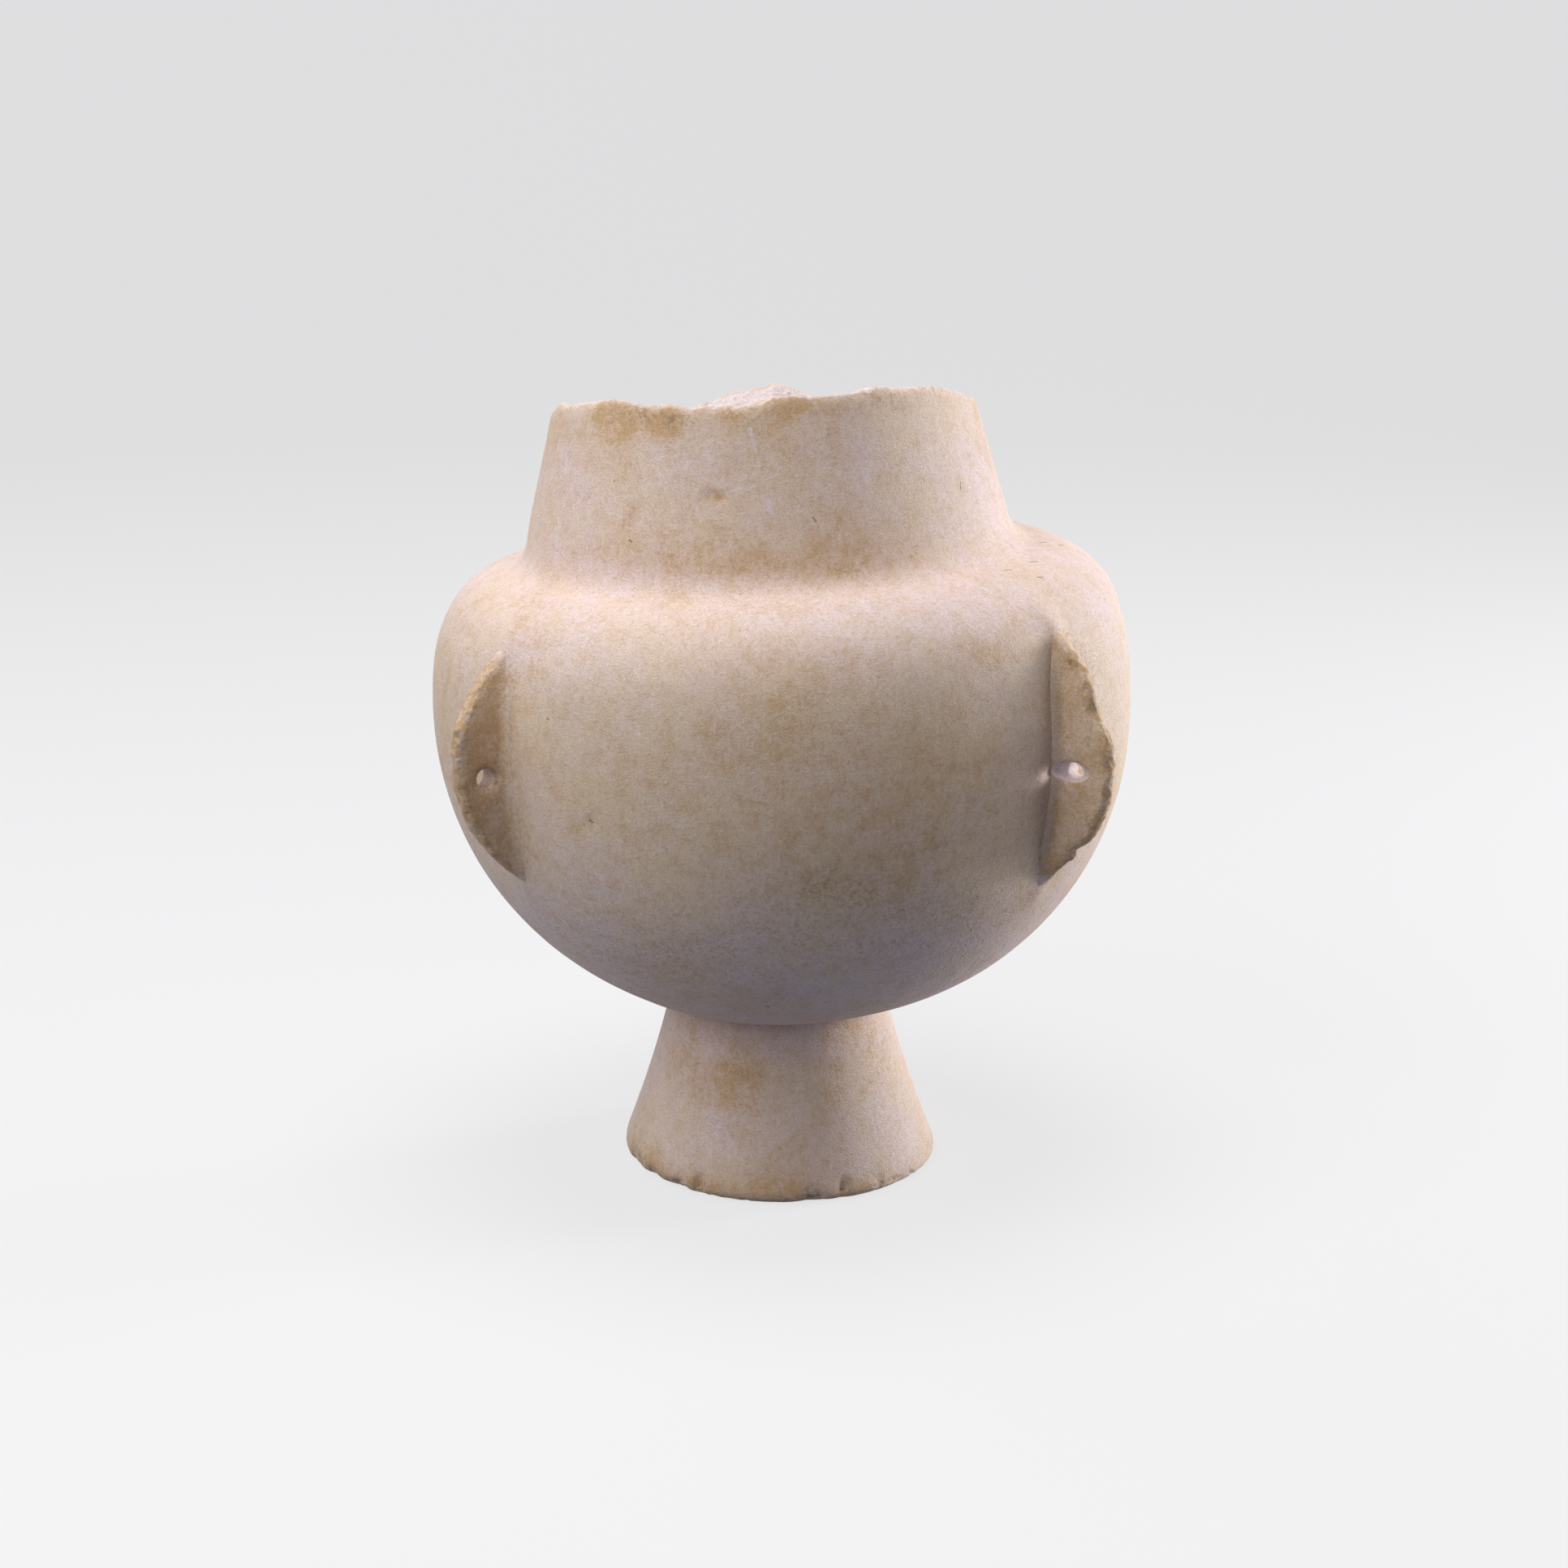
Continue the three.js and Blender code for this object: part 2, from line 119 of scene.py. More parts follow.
class MarbleLook(bpy.types.PropertyGroup):
    """Colours of the marble"""

    cream: FloatVectorProperty(name="Cream", description="Ground of the old polished skin",
                               subtype="COLOR", size=3, default=(0.86, 0.69, 0.51))
    # This colour also paints light: the paler shoulder and collar, the highlight at the collar's foot, the
    # lit sides of the collar, the lit front of the foot and the cooler lower belly.
    pale: FloatVectorProperty(name="Pale", description="Whiter crystal clouds",
                              subtype="COLOR", size=3, default=(0.89, 0.73, 0.73))
    # This colour also paints shade: the warm, dim front of the belly and the band beside each lug's root.
    ochre: FloatVectorProperty(name="Ochre", description="Iron stain",
                               subtype="COLOR", size=3, default=(0.69, 0.46, 0.255))
    # This colour also paints shade: beside each lug's root, over the lower belly and towards the bore mouths.
    grime: FloatVectorProperty(name="Grime", description="Dark crust and dirt in pits",
                               subtype="COLOR", size=3, default=(0.22, 0.165, 0.10))
    # This colour also paints light: inside the lug bores, in the drill's grooves and on the upper crests.
    fresh: FloatVectorProperty(name="Fresh", description="White of broken stone",
                               subtype="COLOR", size=3, default=(0.88, 0.765, 0.775))


class StudioLook(bpy.types.PropertyGroup):
    """Studio values"""

    floor: FloatVectorProperty(name="Floor", description="Colour of the floor and backdrop", subtype="COLOR",
                               size=3, default=(0.90, 0.90, 0.91))
    bounce: FloatVectorProperty(name="Bounce", description="Colour that the floor throws back on the jar",
                                subtype="COLOR", size=3, default=(0.13, 0.15, 0.225))
    key_power: FloatProperty(name="Key power", description="Large lamp above on the left front",
                             default=4.2, unit="POWER")
    front_power: FloatProperty(name="Front power", description="Lamp lower down on the left front",
                               default=2.6, unit="POWER")
    top_power: FloatProperty(name="Top power", description="Large lamp overhead", default=8.6, unit="POWER")
    edge_power: FloatProperty(name="Edge power", description="Small lamp low behind on the right",
                              default=9.8, unit="POWER")
    side_power: FloatProperty(name="Side power", description="Weak lamps level with the belly on both sides",
                              default=2.4, unit="POWER")
    air: FloatProperty(name="Air", description="Strength of the even light from all round", default=0.01)


def smooth(low, high, value):
    """0 below low, 1 above high, and the cubic 3t2 - 2t3 between."""
    t = np.clip((value - low) / (high - low), 0.0, 1.0)
    return t * t * (3.0 - 2.0 * t)


def hashed(cells, seed):
    """A repeatable number from 0 to 1 for each whole-number cell."""
    x, y, z = (cells[..., i].astype(np.uint32) for i in range(3))
    n = x * np.uint32(73856093) ^ y * np.uint32(19349663) ^ z * np.uint32(83492791)
    n = n ^ np.uint32(seed * 2654435 + 17)
    n = (n ^ (n >> np.uint32(13))) * np.uint32(1274126177)
    n = (n ^ (n >> np.uint32(16))) * np.uint32(2246822519)
    return (n ^ (n >> np.uint32(15))).astype(np.float64) / 4294967295.0


def noise(points, size, seed=0):
    """Smooth value noise from -1 to 1: corner values of a cubic lattice of the given size, blended
    by 3t2 - 2t3 along each axis."""
    p = points / size
    base = np.floor(p)
    t = p - base
    t = t * t * (3.0 - 2.0 * t)
    cell = base.astype(np.int64)
    total = np.zeros(points.shape[:-1])
    for dx in (0, 1):
        for dy in (0, 1):
            for dz in (0, 1):
                corner = hashed(cell + np.array([dx, dy, dz]), seed)
                weight = np.abs(1 - dx - t[..., 0]) * np.abs(1 - dy - t[..., 1]) * np.abs(1 - dz - t[..., 2])
                total += corner * weight
    return total * 2.0 - 1.0


def bezier(points, steps):
    """Bezier curve of the given control points, by repeated linear blending."""
    t = np.linspace(0.0, 1.0, steps)[:, None]
    rows = [np.broadcast_to(np.array(p, float), (steps, 2)) for p in points]
    while len(rows) > 1:
        rows = [a + (b - a) * t for a, b in zip(rows[:-1], rows[1:])]
    return rows[0]


def even_turn(columns):
    """Evenly spaced angles round the axis."""
    return np.linspace(0.0, FULL_TURN, columns, endpoint=False)


def apart(angle, other):
    """How far one angle is turned past another, from -pi to pi."""
    return (angle - other + math.pi) % FULL_TURN - math.pi


def around(r, angle, z):
    """Points (r cos a, r sin a, z)."""
    return np.stack([r * np.cos(angle), r * np.sin(angle), z], -1)


def crowded_turn(columns, centres, spread, extra):
    """Angles round the axis that lie closer together near the centres: the density is
    1 + extra * exp(-(away/spread)^2) for each, and its running sum is inverted."""
    fine = np.linspace(0.0, FULL_TURN, 6001)
    away = apart(fine[:, None], np.asarray(centres))
    density = 1 + extra * np.exp(-(away / spread) ** 2).sum(1)
    total = np.concatenate([[0.0], np.cumsum(density[1:] + density[:-1])])
    return np.interp(np.linspace(0.0, total[-1], columns, endpoint=False), total, fine)


def resample(curve, count, density=None):
    """The same curve with its points evenly spaced by length, or closer where the density given
    at its points is higher."""
    step = np.hypot(*np.diff(curve, axis=0).T)
    if density is not None:
        step = step * (density[1:] + density[:-1])
    length = np.concatenate([[0.0], np.cumsum(step)])
    at = np.linspace(0.0, length[-1], count)
    return np.stack([np.interp(at, length, curve[:, i]) for i in (0, 1)], -1)


class Form:
    """The jar's true form in millimetres, from the frame's boxes and the sizes"""

    def __init__(self, sizes):
        self.columns = sizes.columns
        for name, value in sizes.bl_rna.properties.items():
            if value.unit == "LENGTH":
                setattr(self, name, getattr(sizes, name) / MM)
        self.power = sizes.belly_power
        self.taper = sizes.collar_taper
        self.lean_slope = math.tan(sizes.lean)
        self.tilt_slope = math.tan(sizes.tilt)
        self.belly_slope = math.tan(math.radians(0.8))
        self.foot_offset = 1.1
        self.foot_height = FOOT_HIGH[2] / MM
        self.foot_radius = (FOOT_HIGH[0] - FOOT_LOW[0]) / 2 / MM
        self.joint = BODY_HIGH[2] / MM
        self.radius = (BODY_HIGH[0] - BODY_LOW[0]) / 2 / MM
        share = 1 - (self.foot_top / self.radius) ** self.power
        self.widest = self.foot_height + self.belly_depth * share ** (1 / self.power)
        self.collar_foot = self.widest + self.shoulder_rise
        self.rim = self.collar_foot + self.rim_rise
        self.skin = self.outline()

    def collar_at(self, z):
        return self.collar_radius - self.taper * (z - self.collar_foot)

    def outline(self):
        """Rows (r, z) from the foot's top to past the rim. The belly is the superellipse
        |r/R|^p + |z/depth|^p = 1, the shoulder a cubic Bezier, the fillet beside the collar a
        quadratic one, and the collar a cone."""
        first = math.asin((self.foot_top / self.radius) ** (self.power / 2))
        angle = np.linspace(first, math.pi / 2, 500)
        belly = np.stack([self.radius * np.sin(angle) ** (2 / self.power),
                          self.widest - self.belly_depth * np.abs(np.cos(angle)) ** (2 / self.power)], -1)
        belly[0] = self.foot_top, self.foot_height
        fillet_out, fillet_up, fall, pull, spare = 4.9, 6.5, 0.17, 15, 15
        inner = self.collar_radius + fillet_out
        inner_z = self.collar_foot - fall * fillet_out
        turn = bezier([(self.radius, self.widest), (self.radius, self.widest + self.shoulder_fullness),
                       (inner + pull, inner_z - fall * pull), (inner, inner_z)], 400)
        top = self.collar_foot + fillet_up
        hollow = bezier([(inner, inner_z), (self.collar_radius, self.collar_foot),
                         (self.collar_at(top), top)], 90)
        end = self.rim + spare
        return np.concatenate([belly, turn[1:], hollow[1:], [[self.collar_at(end), end]]])

    def radius_at(self, z):
        return np.interp(z, self.skin[:, 1], self.skin[:, 0])

    def askew(self, points):
        """The carving isn't quite true. The foot stands off to the left, the belly leans right
        going down, the upper part leans left going up, and the shoulder is higher on the right.
        The joints stay level."""
        z = points[..., 2]
        above = np.maximum(z - self.widest, 0.0)
        settled = smooth(self.foot_height, self.foot_height + 9, z)
        below = self.foot_offset * (1 - settled) - self.belly_slope * (self.widest - z) * settled
        turned = smooth(0.0, 30.5, above)
        upper = self.lean_slope * above * turned + 1.3 * smooth(30.5, self.shoulder_rise, above)
        shift = np.where(z < self.widest, below, upper)
        level = 1 - smooth(self.collar_foot, self.joint, z)
        lift = self.tilt_slope * (points @ RIGHT) * turned * level
        return points - shift[..., None] * RIGHT + lift[..., None] * UP

    def on_skin(self, turn, height):
        """The point of the finished outside at a turn and a height, by repeated correction."""
        azimuth = FRONT + math.radians(turn)
        goal = np.array([math.cos(azimuth), math.sin(azimuth)])
        aim, z = azimuth, height
        for _ in range(12):
            r = self.radius_at(z)
            found = self.askew(np.array([r * math.cos(aim), r * math.sin(aim), z]))
            z += height - found[2]
            aim += apart(azimuth, math.atan2(found[1], found[0]))
        return np.array([*(goal * np.hypot(found[0], found[1])), height])


# Marks of use and burial on the outside, with some patches of painted shade and painted light: turn, height,
# then half sizes across and up in millimetres, and strength. Dents are depths in millimetres.
STAINS_AND_PAINTED_SHADE = (
    (-48, 226, 7, 4, 0.7), (-44, 222, 6, 6, 0.5), (-35, 226, 9, 4, 1.0), (-28.5, 223.5, 5, 4, 0.9),
    (-40, 217, 5, 6, 0.5), (-52, 221, 5, 8, 0.3), (-12, 226, 7, 3, 0.3), (0, 227.4, 9, 2.6, 0.3),
    (10, 228, 6, 3, 0.2), (33, 229, 12, 3, 0.2), (-37, 199, 2.6, 9, 0.3), (-20, 189, 9, 5, 0.35),
    (-1, 189, 12, 5, 0.3), (15, 201, 8, 5, 0.2), (14, 189, 11, 5, 0.35), (27, 190, 10, 5, 0.3),
    (-38, 190, 9, 3.4, 0.35), (-11, 150.5, 4.5, 4, 0.4), (-30.5, 124, 1.5, 2, 0.4),
    # (22, 130, ...) at the end of this row and (0, 132, ...) in the next are painted shade: a warmer, darker
    # tone over the dim front of the belly.
    (-33, 121.5, 2.5, 3.5, 0.35), (4, 168, 10, 5, 0.2), (8, 110, 18, 8, 0.2), (22, 130, 30, 26, 0.22),
    (0, 132, 62, 30, 0.24),
    (34, 168, 8, 4, 0.35), (-48, 172, 9, 6, 0.22), (-56, 178, 7, 4, 0.3), (-43, 162, 5, 8, 0.25),
    (-15.8, 205.9, 3.2, 2.0, 0.8), (-15, 39, 6, 6, 0.5), (-19, 33, 7, 7, 0.45), (-21, 27, 7, 5, 0.3),
    (-37, 28.5, 4, 3, 0.3), (-6, 14, 8, 8, 0.2), (8, 24, 14, 16, 0.12),
    (-60, 5, 14, 4, 0.55), (-25, 4, 16, 3, 0.35), (20, 4, 16, 3, 0.3), (150, 214, 14, 10, 0.5),
    (-140, 196, 18, 8, 0.4), (165, 150, 26, 16, 0.35), (-150, 118, 20, 24, 0.3), (110, 100, 24, 16, 0.3),
    (140, 30, 9, 7, 0.5), (-120, 36, 7, 5, 0.4),
)
DIRT_AND_PAINTED_SHADE = (
    (-31, 3.0, 3, 1.4, 0.7), (-62, 2.2, 9, 1.6, 0.6), (11, 2.0, 4, 1.2, 0.7), (23, 2.8, 1.4, 1.4, 0.7),
    (-36, 226, 9, 2.4, 0.45), (-28, 224.5, 4, 2, 0.45), (30, 229.5, 9, 2, 0.3), (8, 109, 14, 5, 0.25),
    (14, 187, 6, 2, 0.2), (160, 3, 12, 1.6, 0.7), (-150, 3, 8, 1.6, 0.7), (90, 2, 6, 1.4, 0.5),
    # This row is painted shade: darker on the lower belly, where it turns down and away from the lamps.
    (-25, 88, 50, 13, 0.22), (30, 92, 26, 14, 0.24), (5, 100, 24, 9, 0.12),
)
BLEACHED_AND_PAINTED_LIGHT = (
    # (-60, 205) at the end of this row and (72, 205) in the next are painted light on the lit sides of the
    # collar.
    (-47, 165.6, 5, 3, 0.8), (47.5, 101.6, 2.4, 2, 0.9), (-2.8, 203.5, 1.2, 2, 0.9), (-60, 205, 14, 12, 0.5),
    # (-25, 184) and (30, 184) are a painted highlight along the hollow at the collar's foot.
    (20, 214, 10, 8, 0.4), (72, 205, 16, 16, 0.6), (-25, 184, 30, 4, 0.6), (30, 184, 26, 4, 0.5),
    (-18, 212, 14, 8, 0.3), (-44, 39.5, 8, 1, 0.5), (60, 40, 12, 1.2, 0.6), (20, 40, 14, 1, 0.3),
    # (0, 45) is painted light on the front of the foot, where the belly shades it.
    (-26, 20, 5, 6, 0.4), (-42, 100, 18, 16, 0.3), (0, 45, 30, 7, 0.45),
)
DENTS = (
    (-16.8, 206.3, 1.8, 1.4, 0.5), (-14.4, 205.6, 1.7, 1.1, 0.5), (-30.3, 124, 1.2, 1.4, 0.35),
    (-33, 121.7, 1.6, 2.6, 0.25), (8, 110, 7, 3, 0.18), (13, 107, 4, 2, 0.2), (-13, 90, 5, 2, 0.2),
    (40, 72, 14, 7, 0.15), (20, 172, 9, 4, 0.2), (-60, 176, 9, 5, 0.25), (-31, 4.2, 1.6, 2.6, 1.1),
    (11, 2, 3.4, 1.8, 1.1), (23, 3.6, 1.6, 2.4, 1.2), (-55, 2, 3, 2, 0.9), (-68, 3, 3, 2.4, 0.7),
    (-42, 1.6, 3, 1.6, 0.7), (48, 2, 4, 1.4, 0.5), (130, 2, 4, 2, 1.0), (-160, 2, 5, 2.4, 1.0),
    (175, 130, 9, 12, 0.25), (-120, 150, 12, 8, 0.25),
)
# Where the rubbed skin is coarser, low on the right of the belly
ROUGH = ((42, 70, 26, 9, 1.0),)
# Short lines on the outside: turn and height of both ends, and half the width in millimetres
SCRATCHES = (
    (-7.9, 223.2, -7.4, 221.4, 0.6), (-7.1, 220.2, -6.2, 217.6, 0.36), (-5.8, 215.6, -5.2, 213.8, 0.3),
    (-11.4, 207.8, -8.5, 208.2, 0.3), (-7.6, 208.5, -1.2, 211.8, 0.34), (-1.2, 211.8, -0.5, 213.3, 0.26),
    (-3.4, 205.2, -2.4, 202.2, 0.8), (-28.8, 21.8, -27.0, 20.4, 0.35),
    (-37.5, 183.6, -34, 183.2, 0.3), (32, 96, 34.2, 95.2, 0.3), (-22, 150.2, -21.3, 148.6, 0.5),
)
PITS = (
    (83.4, 184.6, 85.6, 184.3, 0.32), (85.0, 183.5, 86.6, 183.2, 0.3), (62.8, 183.7, 64.6, 183.5, 0.36),
    (52.6, 183.5, 53.8, 183.4, 0.3), (56.4, 181.5, 57.6, 181.3, 0.28), (-30.5, 124.2, -30.1, 123.9, 0.42),
    (-29.5, 19.9, -29.5, 19.7, 0.35), (-42.5, 208, -42.4, 207.8, 0.25), (-35.6, 193.2, -35.0, 192.9, 0.25),
    (52, 204, 52.8, 206, 0.2), (7.4, 200.5, 8.0, 199.6, 0.26),
    (-3.4, 67.0, -3.0, 66.6, 0.4), (4.4, 37.6, 4.5, 37.4, 0.25), (-14.2, 38.7, -14.1, 38.5, 0.3),
    (-38, 150, -37.8, 149.8, 0.25), (121, 170, 121.6, 169.8, 0.36), (-100, 180, -99.4, 179.8, 0.3),
    (150, 90, 150.6, 89.7, 0.36),
)


def marked(place, marks):
    """Sum of strength * exp(-(across/half)^2 - (up/half)^2) over the marks, at finished points."""
    turn = np.arctan2(place[..., 1], place[..., 0]) - FRONT
    girth = np.hypot(place[..., 0], place[..., 1])
    total = np.zeros(place.shape[:-1])
    for at, height, across, up, strength in marks:
        away = apart(turn, math.radians(at))
        total += strength * np.exp(-(away * girth / across) ** 2 - ((place[..., 2] - height) / up) ** 2)
    return total


# Each lug: turn, rise over the skin, length, drop of its middle and of its bore below the widest
# level, the bore's distance out, how much wider and higher its mouth is, the depth of the drill's
# groove beside it, how far and how strongly the bore is painted white as painted light through it,
# and chips of the crest as height, spread and change
LUGS = {
    "lug_front_right": dict(turn=50, rise=14.2, length=69, drop=5.0, bore=4.7, out=3.5, wide=1.47, high=0.82,
                            groove=0.9, clean=1.0,
                            crest=((11, 4.6, -1.7), (-27, 1.5, -1.5), (-33, 5, -0.9), (-14, 6, 0.5),
                                   (4, 3.4, 0.5), (20, 3, -0.4))),
    "lug_front_left": dict(turn=-50, rise=13.8, length=69, drop=3.5, bore=6.5, out=5.2, wide=1.0, high=1.0,
                           groove=0.6, clean=0.0,
                           crest=((26, 6, 0.9), (-11, 7, -0.5), (8, 3, 0.3), (-24, 4, 0.3))),
    "lug_back_left": dict(turn=-130, rise=14.2, length=70, drop=5.5, bore=5.0, out=4.2, wide=1.12, high=0.95,
                          groove=1.0, clean=0.5, crest=((-8, 4, -1.1), (14, 7, 0.3), (-22, 3, -0.6))),
    "lug_back_right": dict(turn=130, rise=13.8, length=69, drop=3.5, bore=6.6, out=4.8, wide=1.0, high=1.0,
                           groove=0.7, clean=0.2, crest=((17, 5, -0.9), (-4, 5, 0.3), (-20, 5, -0.7))),
}


def lug_axes(turn):
    """Unit vectors out from the axis and sideways at a turn from the front."""
    azimuth = FRONT + math.radians(turn)
    return (np.array([math.cos(azimuth), math.sin(azimuth), 0.0]),
            np.array([-math.sin(azimuth), math.cos(azimuth), 0.0]))


def near_lugs(form, points):
    """At points of the true form: how close they lie to a lug's root, from 0 to 1, the depth of
    the drill's groove beside each bore, and the skin's height round a lug, a bell-shaped hollow
    along its sides and a low mound at its ends. The drill is a round bar that runs out of the
    skin, so the groove is sqrt(drill^2 - level^2) less the height of its centre line."""
    close, groove, bank = (np.zeros(points.shape[:-1]) for _ in range(3))
    for lug in LUGS.values():
        radial, tangent = lug_axes(lug["turn"])
        side = np.abs(points @ tangent)
        up = points[..., 2] - form.widest + lug["drop"]
        along = np.abs(up) / (lug["length"] / 2)
        facing = points @ radial > 0
        root = form.lug_root / 2 + 1.2
        off = np.maximum(side - root, 0)
        reach = np.exp(-off / 3.2) * (1 - smooth(0.75, 1.05, along))
        close = np.maximum(close, np.where(facing, reach, 0))
        level = points[..., 2] - form.widest + lug["bore"]
        drill = form.bore / 2 * lug["high"] + 0.3
        cut = np.sqrt(np.maximum(drill ** 2 - level ** 2, 0)) - (drill - lug["groove"] + 0.15 * off)
        groove = np.maximum(groove, np.where(facing, cut, 0))
        hollow = np.exp(-(off / 5.0) ** 2) * (1 - smooth(0.5, 0.92, along))
        mound = np.exp(-(side / 4.5) ** 2 - ((along - 1.0) / 0.17) ** 2) * np.where(up > 0, 1.3, 0.6)
        bank += np.where(facing, mound - 0.8 * hollow, 0)
    return close, groove, bank


def relief(form, points):
    """Height of the worn skin over the true form: slow hollows of the hand, finer rubbing, dents."""
    place = form.askew(points)
    slow = noise(points, 46, 3) * 0.16 + noise(points, 19, 5) * 0.08
    fine = noise(points, 6, 7) * 0.035 + noise(points, 2.4, 9) * 0.022
    rough = 0.5 + smooth(-0.2, 0.8, noise(points, 24, 13)) + 2.0 * marked(place, ROUGH)
    return slow + fine * rough - marked(place, DENTS) * (1 + 0.5 * noise(points, 1.9, 15))


def burial(form, points):
    """The masks that every outer piece shares: ochre stain, dirt and bleached spots, and among them painted
    shade and painted light.
    """
    place = form.askew(points)
    broken = 1 + 0.30 * noise(place, 7, 41) + 0.25 * noise(place, 3, 42)
    close = near_lugs(form, points)[0]
    drift = smooth(0.1, 0.9, noise(place, 38, 43)) * 0.30
    # close, the nearness to a lug's root, adds dirt and painted shade to both masks: a warmer, darker band
    # beside each lug, where it shades the body.
    ochre = (marked(place, STAINS_AND_PAINTED_SHADE) + drift) * broken + close * 0.22
    grime = marked(place, DIRT_AND_PAINTED_SHADE) * 0.6 * (1 + 0.6 * noise(place, 2.5, 44)) + close * 0.16
    # high and the two height ramps are painted light: paler bands on the shoulder by the collar's foot and
    # over the collar, where the top lamp falls, and a paler, cooler tone low on the belly and the foot in
    # place of the floor's cool bounced light.
    high = np.exp(-((place[..., 2] - 183) / 10) ** 2) + np.exp(-((place[..., 2] - 172) / 16) ** 2)
    pale = marked(place, BLEACHED_AND_PAINTED_LIGHT) + 0.40 * high + 0.38 * smooth(112, 84, place[..., 2])
    pale = (pale + 0.22 * smooth(186, 198, place[..., 2])) * broken
    return {"ochre": ochre, "grime": grime, "pale": pale}


def turned_grid(profile, angle):
    """Points (r cos a, r sin a, z) of a profile of rows (r, z) at the angles given."""
    r, z = profile[:, 0][:, None], profile[:, 1][:, None]
    return around(r, angle, np.broadcast_to(z, (len(profile), len(angle))))


def grid_normals(profile, angle):
    """Outward normals of a turned grid: the profile's tangent turned a quarter clockwise."""
    tangent = np.gradient(profile, axis=0)
    tangent /= np.maximum(np.hypot(tangent[:, 0], tangent[:, 1]), 1e-12)[:, None]
    return turned_grid(np.stack([tangent[:, 1], -tangent[:, 0]], -1), angle)


def ring_faces(rows, columns):
    """Quads between neighbouring rows of a grid that closes round its columns."""
    i, j = np.meshgrid(np.arange(rows - 1), np.arange(columns), indexing="ij")
    k = (j + 1) % columns
    quads = np.stack([i * columns + j, i * columns + k, (i + 1) * columns + k, (i + 1) * columns + j], -1)
    return quads.reshape(-1, 4)


def fan_faces(ring, centre, turned_over):
    """Triangles from a ring of vertices to one centre vertex."""
    after = np.roll(ring, -1)
    middle = np.full(len(ring), centre)
    order = (after, ring, middle) if turned_over else (ring, after, middle)
    return np.stack(order, -1)


def end_rings(rows, columns):
    """Vertex numbers of a grid's first and last rows."""
    first = np.arange(columns)
    return first, first + (rows - 1) * columns


def end_fans(rings, centre):
    """Triangles that close a grid's end rings to two centre vertices, numbered one after the other."""
    return np.concatenate([fan_faces(rings[0], centre, True), fan_faces(rings[1], centre + 1, False)])


def corner_normals(points, faces):
    """Unit normals at the vertices: the sum of the cross products of the faces around each."""
    flat = np.zeros_like(points)
    across = np.cross(points[faces[:, 2]] - points[faces[:, 0]], points[faces[:, 3]] - points[faces[:, 1]])
    for corner in range(4):
        np.add.at(flat, faces[:, corner], across)
    return flat / np.maximum(np.linalg.norm(flat, axis=1), 1e-12)[:, None]


def add_mesh(name, points, quads, triangles, masks=None, crease=math.radians(50.0)):
    """A mesh object from vertices in millimetres, quads and triangles, shaded smooth but for
    sharp edges, with one number per vertex for each mask."""
    mesh = bpy.data.meshes.new(name)
    corners = np.concatenate([quads.ravel(), triangles.ravel()]).astype(np.int32)
    sizes = np.concatenate([np.full(len(quads), 4), np.full(len(triangles), 3)]).astype(np.int32)
    mesh.vertices.add(len(points))
    mesh.loops.add(len(corners))
    mesh.polygons.add(len(sizes))
    mesh.vertices.foreach_set("co", (points * MM).astype(np.float32).ravel())
    mesh.loops.foreach_set("vertex_index", corners)
    mesh.polygons.foreach_set("loop_start", np.concatenate([[0], np.cumsum(sizes)[:-1]]).astype(np.int32))
    mesh.update(calc_edges=True)
    if mesh.validate():
        raise RuntimeError(f"{name} has broken faces")
    mesh.shade_smooth()
    mesh.set_sharp_from_angle(angle=crease)
    for mask, values in (masks or {}).items():
        full = np.zeros(len(points), np.float32)
        full[:values.size] = np.clip(values.ravel(), 0, 1)
        mesh.attributes.new(mask, "FLOAT", "POINT").data.foreach_set("value", full)
    piece = bpy.data.objects.new(name, mesh)
    bpy.context.scene.collection.objects.link(piece)
    return piece


def finish(piece, material, slot, *nodes):
    """Gives a piece its material and says its body and the nodes it replaces; its slot is not used."""
    piece.data.materials.append(material)
    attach(piece, "root")
    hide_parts(*nodes)


def wire(tree, socket, value):
    """Links a socket to another, or sets it to a number, a vector or a colour."""
    if isinstance(value, bpy.types.NodeSocket):
        tree.links.new(value, socket)
    elif socket.type == "RGBA":
        socket.default_value = (*value, 1.0)
    else:
        socket.default_value = value


def add_node(tree, kind, inputs=None, **values):
    """A shader node with its properties and its input sockets, by name or by number."""
    node = tree.nodes.new(kind)
    for key, value in values.items():
        setattr(node, key, value)
    for key, value in (inputs or {}).items():
        wire(tree, node.inputs[key], value)
    return node


def mix_colour(tree, factor, low, high, blend="MIX"):
    node = add_node(tree, "ShaderNodeMix", {0: factor, 6: low, 7: high}, data_type="RGBA", blend_type=blend)
    return node.outputs[2]


def calc(tree, operation, first, second=0.5, third=None, clamp=False):
    inputs = {0: first, 1: second} if third is None else {0: first, 1: second, 2: third}
    return add_node(tree, "ShaderNodeMath", inputs, operation=operation, use_clamp=clamp).outputs[0]


def ramp(tree, value, low, high, start=0.0, end=1.0):
    """A smooth step of a value between two limits."""
    return add_node(tree, "ShaderNodeMapRange",
                    {"Value": value, "From Min": low, "From Max": high, "To Min": start, "To Max": end},
                    interpolation_type="SMOOTHSTEP").outputs["Result"]


def texture(tree, place, size, detail=4.0, roughness=0.55, stretch=None, distortion=0.0):
    """Fractal noise whose largest features are about the given size in millimetres."""
    if stretch:
        place = add_node(tree, "ShaderNodeMapping", {"Vector": place, "Scale": stretch}).outputs["Vector"]
    return add_node(tree, "ShaderNodeTexNoise",
                    {"Vector": place, "Scale": 1000.0 / size, "Detail": detail, "Roughness": roughness,
                     "Distortion": distortion}).outputs["Fac"]


